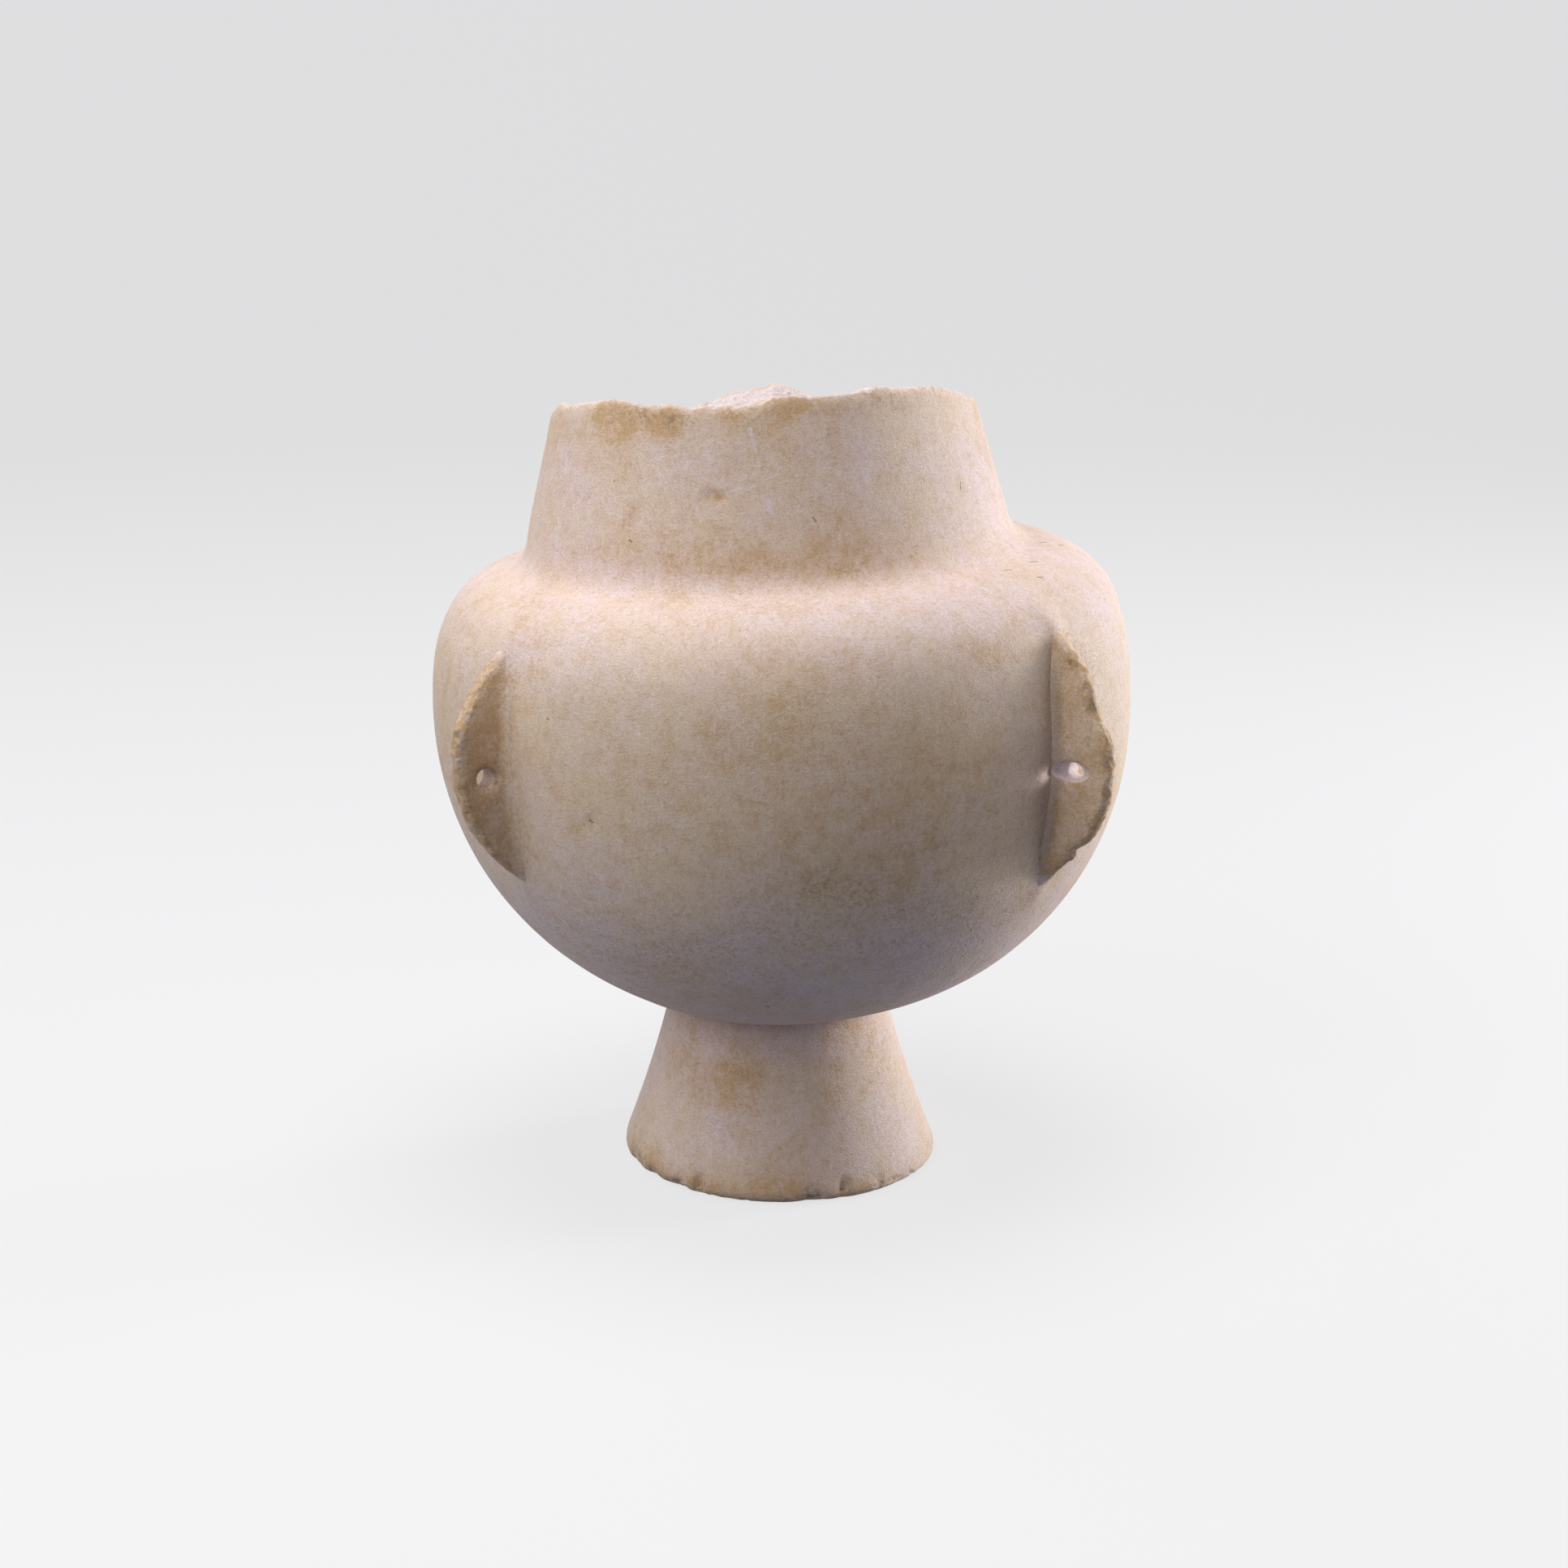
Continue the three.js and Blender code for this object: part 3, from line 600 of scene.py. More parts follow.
def new_group(name, inputs, outputs):
    """An empty shader node group with the sockets named, and its two end nodes."""
    tree = bpy.data.node_groups.new(name, "ShaderNodeTree")
    for socket, kind in inputs:
        tree.interface.new_socket(socket, in_out="INPUT", socket_type=f"NodeSocket{kind}")
    for socket, kind in outputs:
        tree.interface.new_socket(socket, in_out="OUTPUT", socket_type=f"NodeSocket{kind}")
    return tree, tree.nodes.new("NodeGroupInput"), tree.nodes.new("NodeGroupOutput")


def use_group(tree, group, inputs):
    node = tree.nodes.new("ShaderNodeGroup")
    node.node_tree = group
    for key, value in inputs.items():
        wire(tree, node.inputs[key], value)
    return node


def between(tree, operation, first, second):
    """A node that works on two vectors."""
    return add_node(tree, "ShaderNodeVectorMath", {0: first, 1: second}, operation=operation)


def line_group():
    """Shader group: 1 near the line between two points, fading out at the given half width."""
    tree, start, end = new_group("line mark", (("Place", "Vector"), ("From", "Vector"), ("To", "Vector"),
                                               ("Width", "Float")), (("Mask", "Float"),))
    way = between(tree, "SUBTRACT", start.outputs["To"], start.outputs["From"]).outputs["Vector"]
    off = between(tree, "SUBTRACT", start.outputs["Place"], start.outputs["From"]).outputs["Vector"]
    along = calc(tree, "DIVIDE", between(tree, "DOT_PRODUCT", off, way).outputs["Value"],
                 between(tree, "DOT_PRODUCT", way, way).outputs["Value"], clamp=True)
    step = add_node(tree, "ShaderNodeVectorMath", {0: way, "Scale": along}, operation="SCALE")
    gap = between(tree, "DISTANCE", off, step.outputs["Vector"]).outputs["Value"]
    gap = calc(tree, "DIVIDE", gap, start.outputs["Width"])
    wire(tree, end.inputs["Mask"], ramp(tree, gap, 1.15, 0.55))
    return tree


def marks_group(form):
    """Shader group: the masks of the white scratches and of the dark pits, with one ragged edge."""
    tree, start, end = new_group("scratches and pits", (("Place", "Vector"),),
                                 (("Scratches", "Float"), ("Pits", "Float")))
    line = line_group()
    ragged = calc(tree, "MULTIPLY_ADD", texture(tree, start.outputs["Place"], 0.8, 2.0), 1.1, 0.6)
    for name, marks in (("Scratches", SCRATCHES), ("Pits", PITS)):
        total = 0.0
        for turn, height, last_turn, last_height, width in marks:
            node = use_group(tree, line, {"Place": start.outputs["Place"],
                                          "Width": calc(tree, "MULTIPLY", ragged, width * MM),
                                          "From": form.on_skin(turn, height) * MM,
                                          "To": form.on_skin(last_turn, last_height) * MM})
            total = calc(tree, "MAXIMUM", total, node.outputs["Mask"])
        wire(tree, end.inputs[name], total)
    return tree


def marble_group(look):
    """Shader group: colour, roughness and height of old marble at a place in the jar."""
    inputs = [("Place", "Vector"), ("Scratches", "Float"), ("Pits", "Float")]
    inputs += [(name.capitalize(), "Float") for name in MASKS]
    tree, start, end = new_group("aged marble", inputs, (("Color", "Color"), ("Roughness", "Float"),
                                                         ("Height", "Float")))
    place = start.outputs["Place"]
    mask = {name: start.outputs[name.capitalize()] for name in MASKS}

    blotch = texture(tree, place, 5.5, 4.0, 0.6)
    spots = texture(tree, place, 1.3, 3.0, 0.65)
    grain = texture(tree, place, 0.45, 1.0, 0.6)
    fibres = texture(tree, place, 1.9, 3.0, 0.7, stretch=(1.0, 1.0, 2.6), distortion=1.8)
    streaks = texture(tree, place, 1.6, 2.0, 0.6, stretch=(1.0, 1.0, 0.22))
    clouds = texture(tree, place, 24.0, 4.0, 0.66, distortion=0.3)
    drift = texture(tree, place, 44.0, 3.0, 0.62, stretch=(1.0, 1.0, 1.35), distortion=0.5)

    whiter = calc(tree, "ADD", ramp(tree, clouds, 0.40, 0.62, 0.0, 0.42), mask["pale"], clamp=True)
    whiter = calc(tree, "MULTIPLY", whiter, ramp(tree, fibres, 0.38, 0.60, 0.60, 1.0))
    colour = mix_colour(tree, whiter, look.cream, look.pale)

    warm = calc(tree, "MULTIPLY", ramp(tree, drift, 0.47, 0.72), 0.22)
    # The ochre mask holds stains, and also painted shade on the front of the belly and beside the lugs.
    stain_and_shade = calc(tree, "MULTIPLY", mask["ochre"], ramp(tree, blotch, 0.34, 0.62, 0.7, 1.2))
    stain_and_shade = calc(tree, "MULTIPLY", stain_and_shade, ramp(tree, spots, 0.36, 0.64, 0.75, 1.2))
    warm = calc(tree, "ADD", warm, stain_and_shade)
    warm = calc(tree, "MULTIPLY_ADD", ramp(tree, blotch, 0.46, 0.66), 0.22, warm)
    warm = calc(tree, "MULTIPLY_ADD", ramp(tree, fibres, 0.50, 0.36), 0.20, warm)
    warm = calc(tree, "MULTIPLY_ADD", ramp(tree, spots, 0.52, 0.68), 0.26, warm, clamp=True)
    colour = mix_colour(tree, warm, colour, look.ochre)

    dark = calc(tree, "MULTIPLY", ramp(tree, spots, 0.46, 0.60), mask["grime"])
    dark = calc(tree, "MULTIPLY_ADD", mask["grime"], 0.30, dark, clamp=True)
    specks = ramp(tree, texture(tree, place, 0.9, 1.0, 0.5), 0.64, 0.72, 0.0, 0.5)
    dusty = calc(tree, "MULTIPLY_ADD", mask["ochre"], mask["ochre"], 0.12)
    dark = calc(tree, "MAXIMUM", dark, calc(tree, "MULTIPLY", specks, dusty))
    dark = calc(tree, "MAXIMUM", dark, calc(tree, "MULTIPLY", start.outputs["Pits"], 0.55), clamp=True)
    colour = mix_colour(tree, dark, colour, look.grime)

    # The fresh mask holds broken stone, and also painted light in the bores, the grooves and on the upper
    # crests.
    new = calc(tree, "MULTIPLY", mask["fresh"], ramp(tree, spots, 0.25, 0.62, 0.72, 1.0))
    broken = calc(tree, "MULTIPLY", start.outputs["Scratches"], ramp(tree, spots, 0.42, 0.56, 0.15, 0.9))
    new = calc(tree, "MAXIMUM", new, broken, clamp=True)
    colour = mix_colour(tree, new, colour, look.fresh)

    tone = calc(tree, "MULTIPLY_ADD", grain, 0.52, 0.75)
    tone = calc(tree, "MULTIPLY", tone, ramp(tree, fibres, 0.3, 0.7, 0.96, 1.04))
    tone = calc(tree, "MULTIPLY", tone, ramp(tree, streaks, 0.3, 0.7, 0.98, 1.02))
    colour = mix_colour(tree, 1.0, colour, add_node(tree, "ShaderNodeCombineColor",
                                                   {0: tone, 1: tone, 2: tone}).outputs[0], "MULTIPLY")
    wire(tree, end.inputs["Color"], colour)
    wire(tree, end.inputs["Roughness"], ramp(tree, spots, 0.3, 0.7, 0.52, 0.72))
    height = calc(tree, "MULTIPLY_ADD", grain, 0.5, calc(tree, "MULTIPLY", spots, 0.5))
    height = calc(tree, "MULTIPLY_ADD", streaks, 0.25, height)
    height = calc(tree, "MULTIPLY_ADD", fibres, 0.5, height)
    height = calc(tree, "MULTIPLY_ADD", calc(tree, "MULTIPLY", spots, mask["fresh"]), 1.6, height)
    height = calc(tree, "MULTIPLY_ADD", start.outputs["Pits"], -1.5, height)
    wire(tree, end.inputs["Height"], height)
    return tree


def marble(name):
    """The marble material of the given name, made when it is first asked for."""
    if name in bpy.data.materials:
        return bpy.data.materials[name]
    scene = bpy.context.scene
    skin = bpy.data.node_groups.get("aged marble") or marble_group(scene.jar_marble)
    marks = bpy.data.node_groups.get("scratches and pits") or marks_group(Form(scene.jar_sizes))
    material = bpy.data.materials.new(name)
    material.use_nodes = True
    tree = material.node_tree
    shader = tree.nodes["Principled BSDF"]
    place = tree.nodes.new("ShaderNodeTexCoord").outputs["Object"]
    marked_at = use_group(tree, marks, {"Place": place})
    inputs = {"Place": place, "Scratches": marked_at.outputs["Scratches"], "Pits": marked_at.outputs["Pits"]}
    for mask in MASKS:
        inputs[mask.capitalize()] = add_node(tree, "ShaderNodeAttribute", attribute_name=mask).outputs["Fac"]
    stone = use_group(tree, skin, inputs)
    bumped = add_node(tree, "ShaderNodeBump", {"Height": stone.outputs["Height"],
                                               "Strength": BUMP_STRENGTH, "Distance": 0.3 * MM})
    wire(tree, shader.inputs["Base Color"], stone.outputs["Color"])
    wire(tree, shader.inputs["Roughness"], stone.outputs["Roughness"])
    wire(tree, shader.inputs["Normal"], bumped.outputs["Normal"])
    shader.inputs["Subsurface Weight"].default_value = 0.12
    shader.inputs["Subsurface Radius"].default_value = (1.0, 0.75, 0.6)
    shader.inputs["Subsurface Scale"].default_value = 0.002
    shader.inputs["Specular IOR Level"].default_value = 0.3
    return material


class JAR_OT_foot(bpy.types.Operator):
    """Add the conical foot with its worn edge"""

    bl_idname = "jar.foot"
    bl_label = "Foot"

    # The dish under the foot, where the cone would meet its edge, how far the wear climbs it, and
    # how far the cone is drawn in
    DISH_RADIUS, DISH_DEPTH, EDGE, CLIMB, WAIST = 33, 3, 3.4, 1.3, 0.9

    def execute(self, context):
        form = Form(context.scene.jar_sizes)
        columns = form.columns
        azimuth = even_turn(columns)
        r, z = self.outline(form, azimuth)
        points = around(r, azimuth, z)
        rows = len(points)
        quads = ring_faces(rows, columns)
        flat = points.reshape(-1, 3)
        normals = corner_normals(flat, quads).reshape(points.shape)
        edge = smooth(0.0, 4.0, form.foot_height - points[..., 2])
        outside = smooth(form.foot_radius - 9, form.foot_radius - 5, np.hypot(points[..., 0], points[..., 1]))
        outside = np.maximum(outside, smooth(4.0, 8.0, points[..., 2]))
        low = 1 - smooth(1.5, 8.0, points[..., 2])
        crust = noise(points, 5, 21) + 0.6 * noise(points, 2.2, 22) + 0.35 * noise(points, 1.1, 23)
        depth = relief(form, points) - low * (np.maximum(crust - 0.15, 0) * 0.9 - crust * 0.12)
        points = points + normals * (depth * outside * edge)[..., None]
        points[..., 2] = np.maximum(points[..., 2], 0.0)
        masks = burial(form, points)
        under = 1 - outside
        masks["ochre"] = masks["ochre"] + 0.45 * under + 0.25 * low
        masks["grime"] = masks["grime"] + 0.30 * low * smooth(0.1, 0.8, crust) + 0.25 * under
        centre = np.array([[0.0, 0.0, self.DISH_DEPTH], [0.0, 0.0, form.foot_height]])
        flat = form.askew(np.concatenate([points.reshape(-1, 3), centre]))
        triangles = end_fans(end_rings(rows, columns), rows * columns)
        piece = add_mesh("jar_foot", flat, quads, triangles, masks)
        finish(piece, marble("worn marble"), "marble_worn", "foot")
        return {"FINISHED"}

    def outline(self, form, azimuth):
        """Rows from the axis under the foot to its top: a shallow dish z = 3 (1 - (r/33)^2), a flat
        ring, an edge whose quadratic Bezier wears back further on the left, and a cone drawn in
        by 0.9 sin(pi t) up to the joint."""
        radius, edge_height = self.DISH_RADIUS, self.EDGE
        wear = form.foot_wear - 1.5 * np.sin(azimuth - FRONT)
        slope = (form.foot_radius - form.foot_top) / (form.foot_height - edge_height)

        def cone(height):
            share = (height - edge_height) / (form.foot_height - edge_height)
            return form.foot_radius - slope * (height - edge_height) - self.WAIST * np.sin(np.pi * share)

        corner = cone(0.0)
        ring = corner - 1.5 * wear
        dish = np.linspace(0.02, 1, 22)[:, None] * np.ones_like(azimuth) * radius
        dish_z = self.DISH_DEPTH * (1 - (dish / radius) ** 2)
        flat = radius + (ring - radius) * np.linspace(0, 1, 9)[1:, None]
        t = np.linspace(0, 1, 26)[1:, None]
        worn = wear * self.CLIMB
        edge = ring * (1 - t) ** 2 + 2 * t * (1 - t) * corner + t * t * cone(worn)
        edge_z = t * t * wear * self.CLIMB
        s = np.linspace(0, 1, 96)[1:, None] ** 1.1
        side_z = worn + (form.foot_height - worn) * s
        r = np.concatenate([dish, flat, edge, cone(side_z)])
        return r, np.concatenate([dish_z, flat * 0, edge_z, side_z])


def cavity(form):
    """Rows (r, z) of the hollow from the joint down to the axis: a bored neck that widens by 1,
    then z = middle + h cos(a) and r = widest sin(a) with one h above the middle and one below."""
    neck = form.collar_at(form.joint) - form.collar_wall
    neck_end = form.joint - 15
    widest = form.radius - form.body_wall
    floor = form.foot_height + CAVITY_FLOOR
    middle = (neck_end + floor) / 2 + 6
    start = math.asin((neck + 1) / widest)
    angle = np.linspace(start, math.pi * 0.995, 300)
    rise = np.cos(angle)
    z = np.where(rise > 0, middle + (neck_end - middle) * rise / math.cos(start),
                 middle + (middle - floor) * rise)
    return np.concatenate([[[neck, form.joint]], np.stack([widest * np.sin(angle), z], -1)])


class JAR_OT_body(bpy.types.Operator):
    """Add the round body with its shoulder and cavity"""

    bl_idname = "jar.body"
    bl_label = "Body"

    def execute(self, context):
        form = Form(context.scene.jar_sizes)
        columns = form.columns
        top = form.collar_at(form.joint)
        outer = form.skin[form.skin[:, 1] < form.joint - 0.01]
        outer = np.concatenate([outer, [[top, form.joint]]])
        outer = resample(outer, 150, 1 + 1.8 * np.exp(-((outer[:, 1] - form.widest + 7) / 7) ** 2))
        lug_turns = [FRONT + math.radians(lug["turn"]) for lug in LUGS.values()]
        angle = crowded_turn(columns, lug_turns, math.radians(7), 1.5)
        hollow = resample(cavity(form), 24)
        outside = turned_grid(outer, angle)
        inside = turned_grid(hollow, angle)
        settled = smooth(0.0, 5.0, outside[..., 2] - form.foot_height)
        _, groove, bank = near_lugs(form, outside)
        depth = relief(form, outside) * settled + bank - groove
        masks = burial(form, outside)
        # The drill's groove is white: cut stone, and painted light of the lamp that shines through the bore
        # onto it.
        masks["fresh"] = 0.65 * smooth(0.15, 0.8, groove)
        outside = outside + grid_normals(outer, angle) * depth[..., None]
        outside[-1, :, 2] = form.joint
        inside[1:-1] += grid_normals(hollow, angle)[1:-1] * \
            (noise(inside, 12, 51) * 0.5 + noise(inside, 5, 52) * 0.25)[1:-1, :, None]
        extra = {"ochre": 0.5 + 0.3 * noise(inside, 15, 53), "grime": 0.22 + 0.2 * noise(inside, 9, 54),
                 "pale": np.zeros(inside.shape[:-1]), "fresh": np.zeros(inside.shape[:-1])}
        masks = {name: np.concatenate([masks[name], extra[name]]) for name in masks}
        points = form.askew(np.concatenate([outside, inside]))
        rows = len(points)
        centre = form.askew(np.array([[0.0, 0.0, form.foot_height],
                                      [0.0, 0.0, form.foot_height + CAVITY_FLOOR]]))
        flat = np.concatenate([points.reshape(-1, 3), centre])
        triangles = end_fans(end_rings(rows, columns), rows * columns)
        piece = add_mesh("jar_body", flat, ring_faces(rows, columns), triangles, masks)
        finish(piece, marble("polished marble"), "marble", "body")
        return {"FINISHED"}


# The break: swells of the rim at turns from the front, each a rise and a spread in degrees
SWELLS = ((40, 3.1, 40), (-64, 5.0, 41), (-29, 0.7, 14), (2, 1.2, 12), (46, 1.2, 15), (-45, 0.7, 22),
          (88, 1.2, 12), (123, -4.8, 45), (180, 6.9, 17))
NICKS = ((-68, -0.6, 2.2), (-41, 0.2, 7), (-27, -0.4, 5), (25, 0.9, 8), (61, -0.5, 2.4),
         (-14, 0.2, 6), (150, -1.2, 6), (-120, 1.0, 8), (-150, -1.0, 5))


def break_height(form, azimuth, across):
    """Height of the break: a plane tilted towards 31 degrees, bell-shaped swells and nicks,
    ripples of 7, 13 and 23 waves, a bevel rising inwards from the outer edge, and a fall to the
    inner edge that is deepest at the back."""
    turn = azimuth - FRONT
    z = form.rim + 7.2 * np.cos(turn - math.radians(31))
    for toward, rise, spread in SWELLS + NICKS:
        away = apart(turn, math.radians(toward))
        z = z + rise * np.exp(-(away / math.radians(spread)) ** 2)
    for waves in (7, 13, 23):
        z = z + 0.28 * np.sin(waves * turn + math.pi * across)
    behind = np.exp(-(apart(turn, math.pi) / math.radians(40)) ** 2)
    bevel = 0.7 * (1 - np.exp(-across / 0.08)) - 0.2
    return z + bevel - (3.6 + 3.4 * behind) * across ** 1.2


class JAR_OT_collar(bpy.types.Operator):
    """Add the tapering collar with its broken rim"""

    bl_idname = "jar.collar"
    bl_label = "Collar"

    def execute(self, context):
        form = Form(context.scene.jar_sizes)
        columns = 800
        up, over, down = 52, 36, 30
        rise = 1 - (1 - np.linspace(0, 1, up)) ** 1.5
        share = np.concatenate([rise, np.ones(over - 2), np.linspace(1, 0, down)])
        across = np.concatenate([np.zeros(up), np.linspace(0, 1, over)[1:-1] ** 1.25, np.ones(down)])
        az, t = np.meshgrid(even_turn(columns), share)
        a = np.broadcast_to(across[:, None], az.shape)
        mid = around(58 - 10 * a, az, a * 0)
        jagged = noise(mid, 7, 31) * 0.30 + noise(mid, 3.1, 32) * 0.32 + noise(mid, 1.3, 33) * 0.30
        edge = break_height(form, az, a) + jagged
        z = form.joint + t * (edge - form.joint)
        radius = form.collar_at(z) - form.collar_wall * a
        points = around(radius, az, z)
        outer = a == 0
        broken = (a > 0) & (t == 1)
        below = edge - z
        skin = relief(form, points)
        fall = math.hypot(1, form.taper)
        outward = np.stack([np.cos(az) / fall, np.sin(az) / fall, np.full_like(az, form.taper / fall)], -1)
        worn = 0.55 * np.exp(-np.maximum(below, 0) / 0.9)
        tooled = 0.22 * np.sin(z / 1.1 + 2 * noise(points, 9, 35)) + 0.3 * noise(points, 7, 36)
        from_edge = form.collar_wall * a
        skin = (skin - worn + 0.12 * noise(points, 1.1, 37) * np.exp(-below / 2.5)) * np.exp(-from_edge / 1.8)
        depth = np.where(outer | broken, skin, 0)
        inner = (a == 1) & (t < 1)
        depth = np.where(inner, tooled * smooth(0, 3, below) * smooth(0, 0.15, t), depth)
        points = points + outward * depth[..., None]
        points[..., 2] += np.where(broken, 0.16 * noise(points, 0.9, 34), 0)
        points[0, :, 2] = form.joint
        masks = burial(form, points)
        frayed = np.maximum(0.5 + 0.5 * noise(points, 3, 38) + 0.35 * noise(points, 1.4, 39), 0.08)
        masks["fresh"] = np.where(outer, 0.4 * (1 - smooth(0.0, 1.3 * frayed, below)),
                                  0.4 + 0.6 * smooth(0.02, 0.3, a))
        masks["fresh"] = np.where(inner, 0.0, masks["fresh"])
        masks["ochre"] = np.where(inner, 0.55 + 0.3 * noise(points, 15, 53), masks["ochre"])
        masks["grime"] = np.where(inner, 0.2 + 0.2 * noise(points, 9, 54), masks["grime"])
        points = form.askew(points)
        rows = len(share)
        j = np.arange(columns)
        k = (j + 1) % columns
        last = (rows - 1) * columns
        quads = np.concatenate([ring_faces(rows, columns), np.stack([last + j, last + k, k, j], -1)])
        piece = add_mesh("jar_collar", points.reshape(-1, 3), quads, np.zeros((0, 3), int), masks)
        finish(piece, marble("polished marble"), "marble", "collar")
        return {"FINISHED"}


class Lug:
    """One lug in its own axes: radial, sideways and up. Its level section is a flank that tapers
    outwards from a hollow root fillet to a round crest, and the crest follows a parabola over
    the body's curve."""

    FILLET, FLARE, BASE = 1.5, 0.8, -2.4
    # The window in each flank for the bore: half its height, and how far out its two sides stand
    WINDOW_HALF, WINDOW_SIDES = 6.4, (-2.0, 10.0)

    def __init__(self, form, name):
        self.form = form
        self.name = name
        self.__dict__.update(LUGS[name])
        self.middle = form.widest - self.drop
        self.bore_z = form.widest - self.bore
        self.bore_r = form.radius_at(self.bore_z) + self.out

    def place(self, points):
        """Rows (radial, sideways, up) as points of the jar's true form."""
        radial, tangent = lug_axes(self.turn)
        return points[:, :1] * radial + points[:, 1:2] * tangent + points[:, 2:] * UP

    def rise_at(self, z):
        """rise (1 - along^2) with bell-shaped chips and swells of the worn crest. Near its ends the
        line x is eased to (x + sqrt(x^2 + ease)) / 2 less a fading share of sqrt(ease), more at the
        upper end, so it sinks slowly into the body."""
        along = (z - self.middle) / (self.length / 2)
        rise = self.rise * (1 - along ** 2)
        for height, spread, change in self.crest:
            rise = rise + change * np.exp(-((z - self.form.widest - height) / spread) ** 2)
        ease = 5 + 5 * smooth(-10, 10, z - self.middle)
        eased = (rise + np.sqrt(rise ** 2 + ease)) / 2
        return eased - 0.36 * np.sqrt(ease) * np.exp(-np.maximum(rise, 0) / 3)

    def flank(self, out, z):
        """Half thickness: a straight line from the root to the crest, both thinner towards the ends
        by a share of along^2, plus flare (1 - out/fillet)^2 inside the fillet, which is taller
        towards the ends."""
        along = np.minimum(np.abs(z - self.middle) / (self.length / 2), 1.15)
        root = self.form.lug_root / 2 * (1 - 0.42 * along ** 2)
        crest = self.form.lug_crest / 2 * (1 - 0.35 * along ** 2)
        share = np.clip(out / np.maximum(self.rise_at(z), 2.5), -0.2, 1.0)
        melt = smooth(0.62, 1.05, along)
        hollow = np.clip(1 - out / (self.FILLET + 1.5 * melt), 0, 1.6)
        return root + (crest - root) * share + (self.FLARE - 0.3 * melt) * hollow ** 2

    def grid(self, rows, flank_steps, crest_steps):
        """Rows up the lug and columns across its section, left root to right root: how far each
        point stands out from the body, sideways, and its height."""
        along = np.sin(np.linspace(-1, 1, rows) * 1.25) / math.sin(1.25) * 1.17
        z = self.middle + along * self.length / 2
        rise = np.maximum(self.rise_at(z), self.BASE + 0.8)
        crest = np.minimum(self.flank(rise, z), 2.4)
        rounding = np.minimum(crest, np.maximum(rise, 0.4)) * 0.85
        share = np.linspace(0, 1, flank_steps, endpoint=False)
        out = self.BASE + (rise - rounding - self.BASE)[:, None] * share
        side = self.flank(out, z[:, None])
        angle = np.linspace(0, math.pi, crest_steps)
        top = (rise - rounding)[:, None] + rounding[:, None] * np.sin(angle)
        top_side = self.flank(top, z[:, None]) * np.cos(angle)
        out = np.concatenate([out, top, out[:, ::-1]], 1)
        side = np.concatenate([side, top_side, -side[:, ::-1]], 1)
        return out, side, np.broadcast_to(z[:, None], out.shape)


def window_ring(first_row, last_row, first, last, columns):
    """Vertex numbers round a rectangle of a grid, starting along its lowest row."""
    i = np.concatenate([np.full(last - first, first_row), np.arange(first_row, last_row),
                        np.full(last - first, last_row), np.arange(last_row, first_row, -1)])
    j = np.concatenate([np.arange(first, last), np.full(last_row - first_row, last),
                        np.arange(last, first, -1), np.full(last_row - first_row, first)])
    return i, j


def pierced(lug, rows=230, flank_steps=46, crest_steps=22, rings=9, depth_steps=22):
    """Vertices and quads of a lug with its bore. A rectangle of each flank's grid is replaced by
    rings that blend from its border to the bore's mouth, (1 - t) border + t mouth, an ellipse, and
    the tunnel's rings narrow from both mouths to the round waist."""
    form = lug.form
    out, side, z = lug.grid(rows, flank_steps, crest_steps)
    columns = out.shape[1]
    radial = form.radius_at(z) + out
    quads = ring_faces(rows, columns)

    level = z[:, 0]
    low, high = np.searchsorted(level, [lug.bore_z - lug.WINDOW_HALF, lug.bore_z + lug.WINDOW_HALF])
    middle = (low + high) // 2
    first, last = (int(n) for n in np.searchsorted(out[middle, :flank_steps], lug.WINDOW_SIDES))
    i, j = quads[:, 0] // columns, quads[:, 0] % columns
    hole = (i >= low) & (i < high) & (((j >= first) & (j < last)) |
                                      ((j >= columns - 1 - last) & (j < columns - 1 - first)))
    quads = quads[~hole]

    ri, rj = window_ring(low, high, first, last, columns)
    border = np.stack([radial[ri, rj], z[ri, rj]], -1)
    centre = np.array([lug.bore_r, lug.bore_z])
    ray = border - centre
    ray /= np.linalg.norm(ray, axis=1)[:, None]
    mouth = form.bore_mouth / 2 / np.hypot(ray[:, 0] / lug.wide, ray[:, 1] / lug.high)
    waist = form.bore / 2
    t = (np.arange(1, rings + 1) / rings)[:, None, None] ** 0.8
    flat = border * (1 - t) + (centre + ray * mouth[:, None]) * t
    stands = flat[..., 0] - form.radius_at(flat[..., 1])
    thick = lug.flank(stands, flat[..., 1])
    lip = np.linalg.norm(flat - centre, axis=-1) - mouth
    thick = thick - 0.5 * np.exp(-np.maximum(lip, 0) / 0.8)
    left = np.stack([flat[..., 0], thick, flat[..., 1]], -1)
    right = left[::-1] * np.array([1.0, -1.0, 1.0])
    depth = np.linspace(1, -1, depth_steps + 2)[1:-1, None]
    inner = depth * thick[-1]
    widen = smooth(1.0, 4.2, np.abs(inner)) * (mouth - waist) + waist
    tunnel = np.stack([centre[0] + ray[:, 0] * widen, inner, centre[1] + ray[:, 1] * widen], -1)
    added = np.concatenate([left, tunnel, right])

    count = len(ri)
    grid_points = np.stack([radial, side, z], -1).reshape(-1, 3)
    base = len(grid_points)
    numbers = np.concatenate([[ri * columns + rj], base + np.arange(len(added) * count).reshape(-1, count),
                              [ri * columns + columns - 1 - rj]])
    after = np.roll(numbers, -1, axis=1)
    tube = np.stack([numbers[:-1], after[:-1], after[1:], numbers[1:]], -1).reshape(-1, 4)
    points = np.concatenate([grid_points, added.reshape(-1, 3)])
    return points, np.concatenate([quads, tube]), end_rings(rows, columns), base


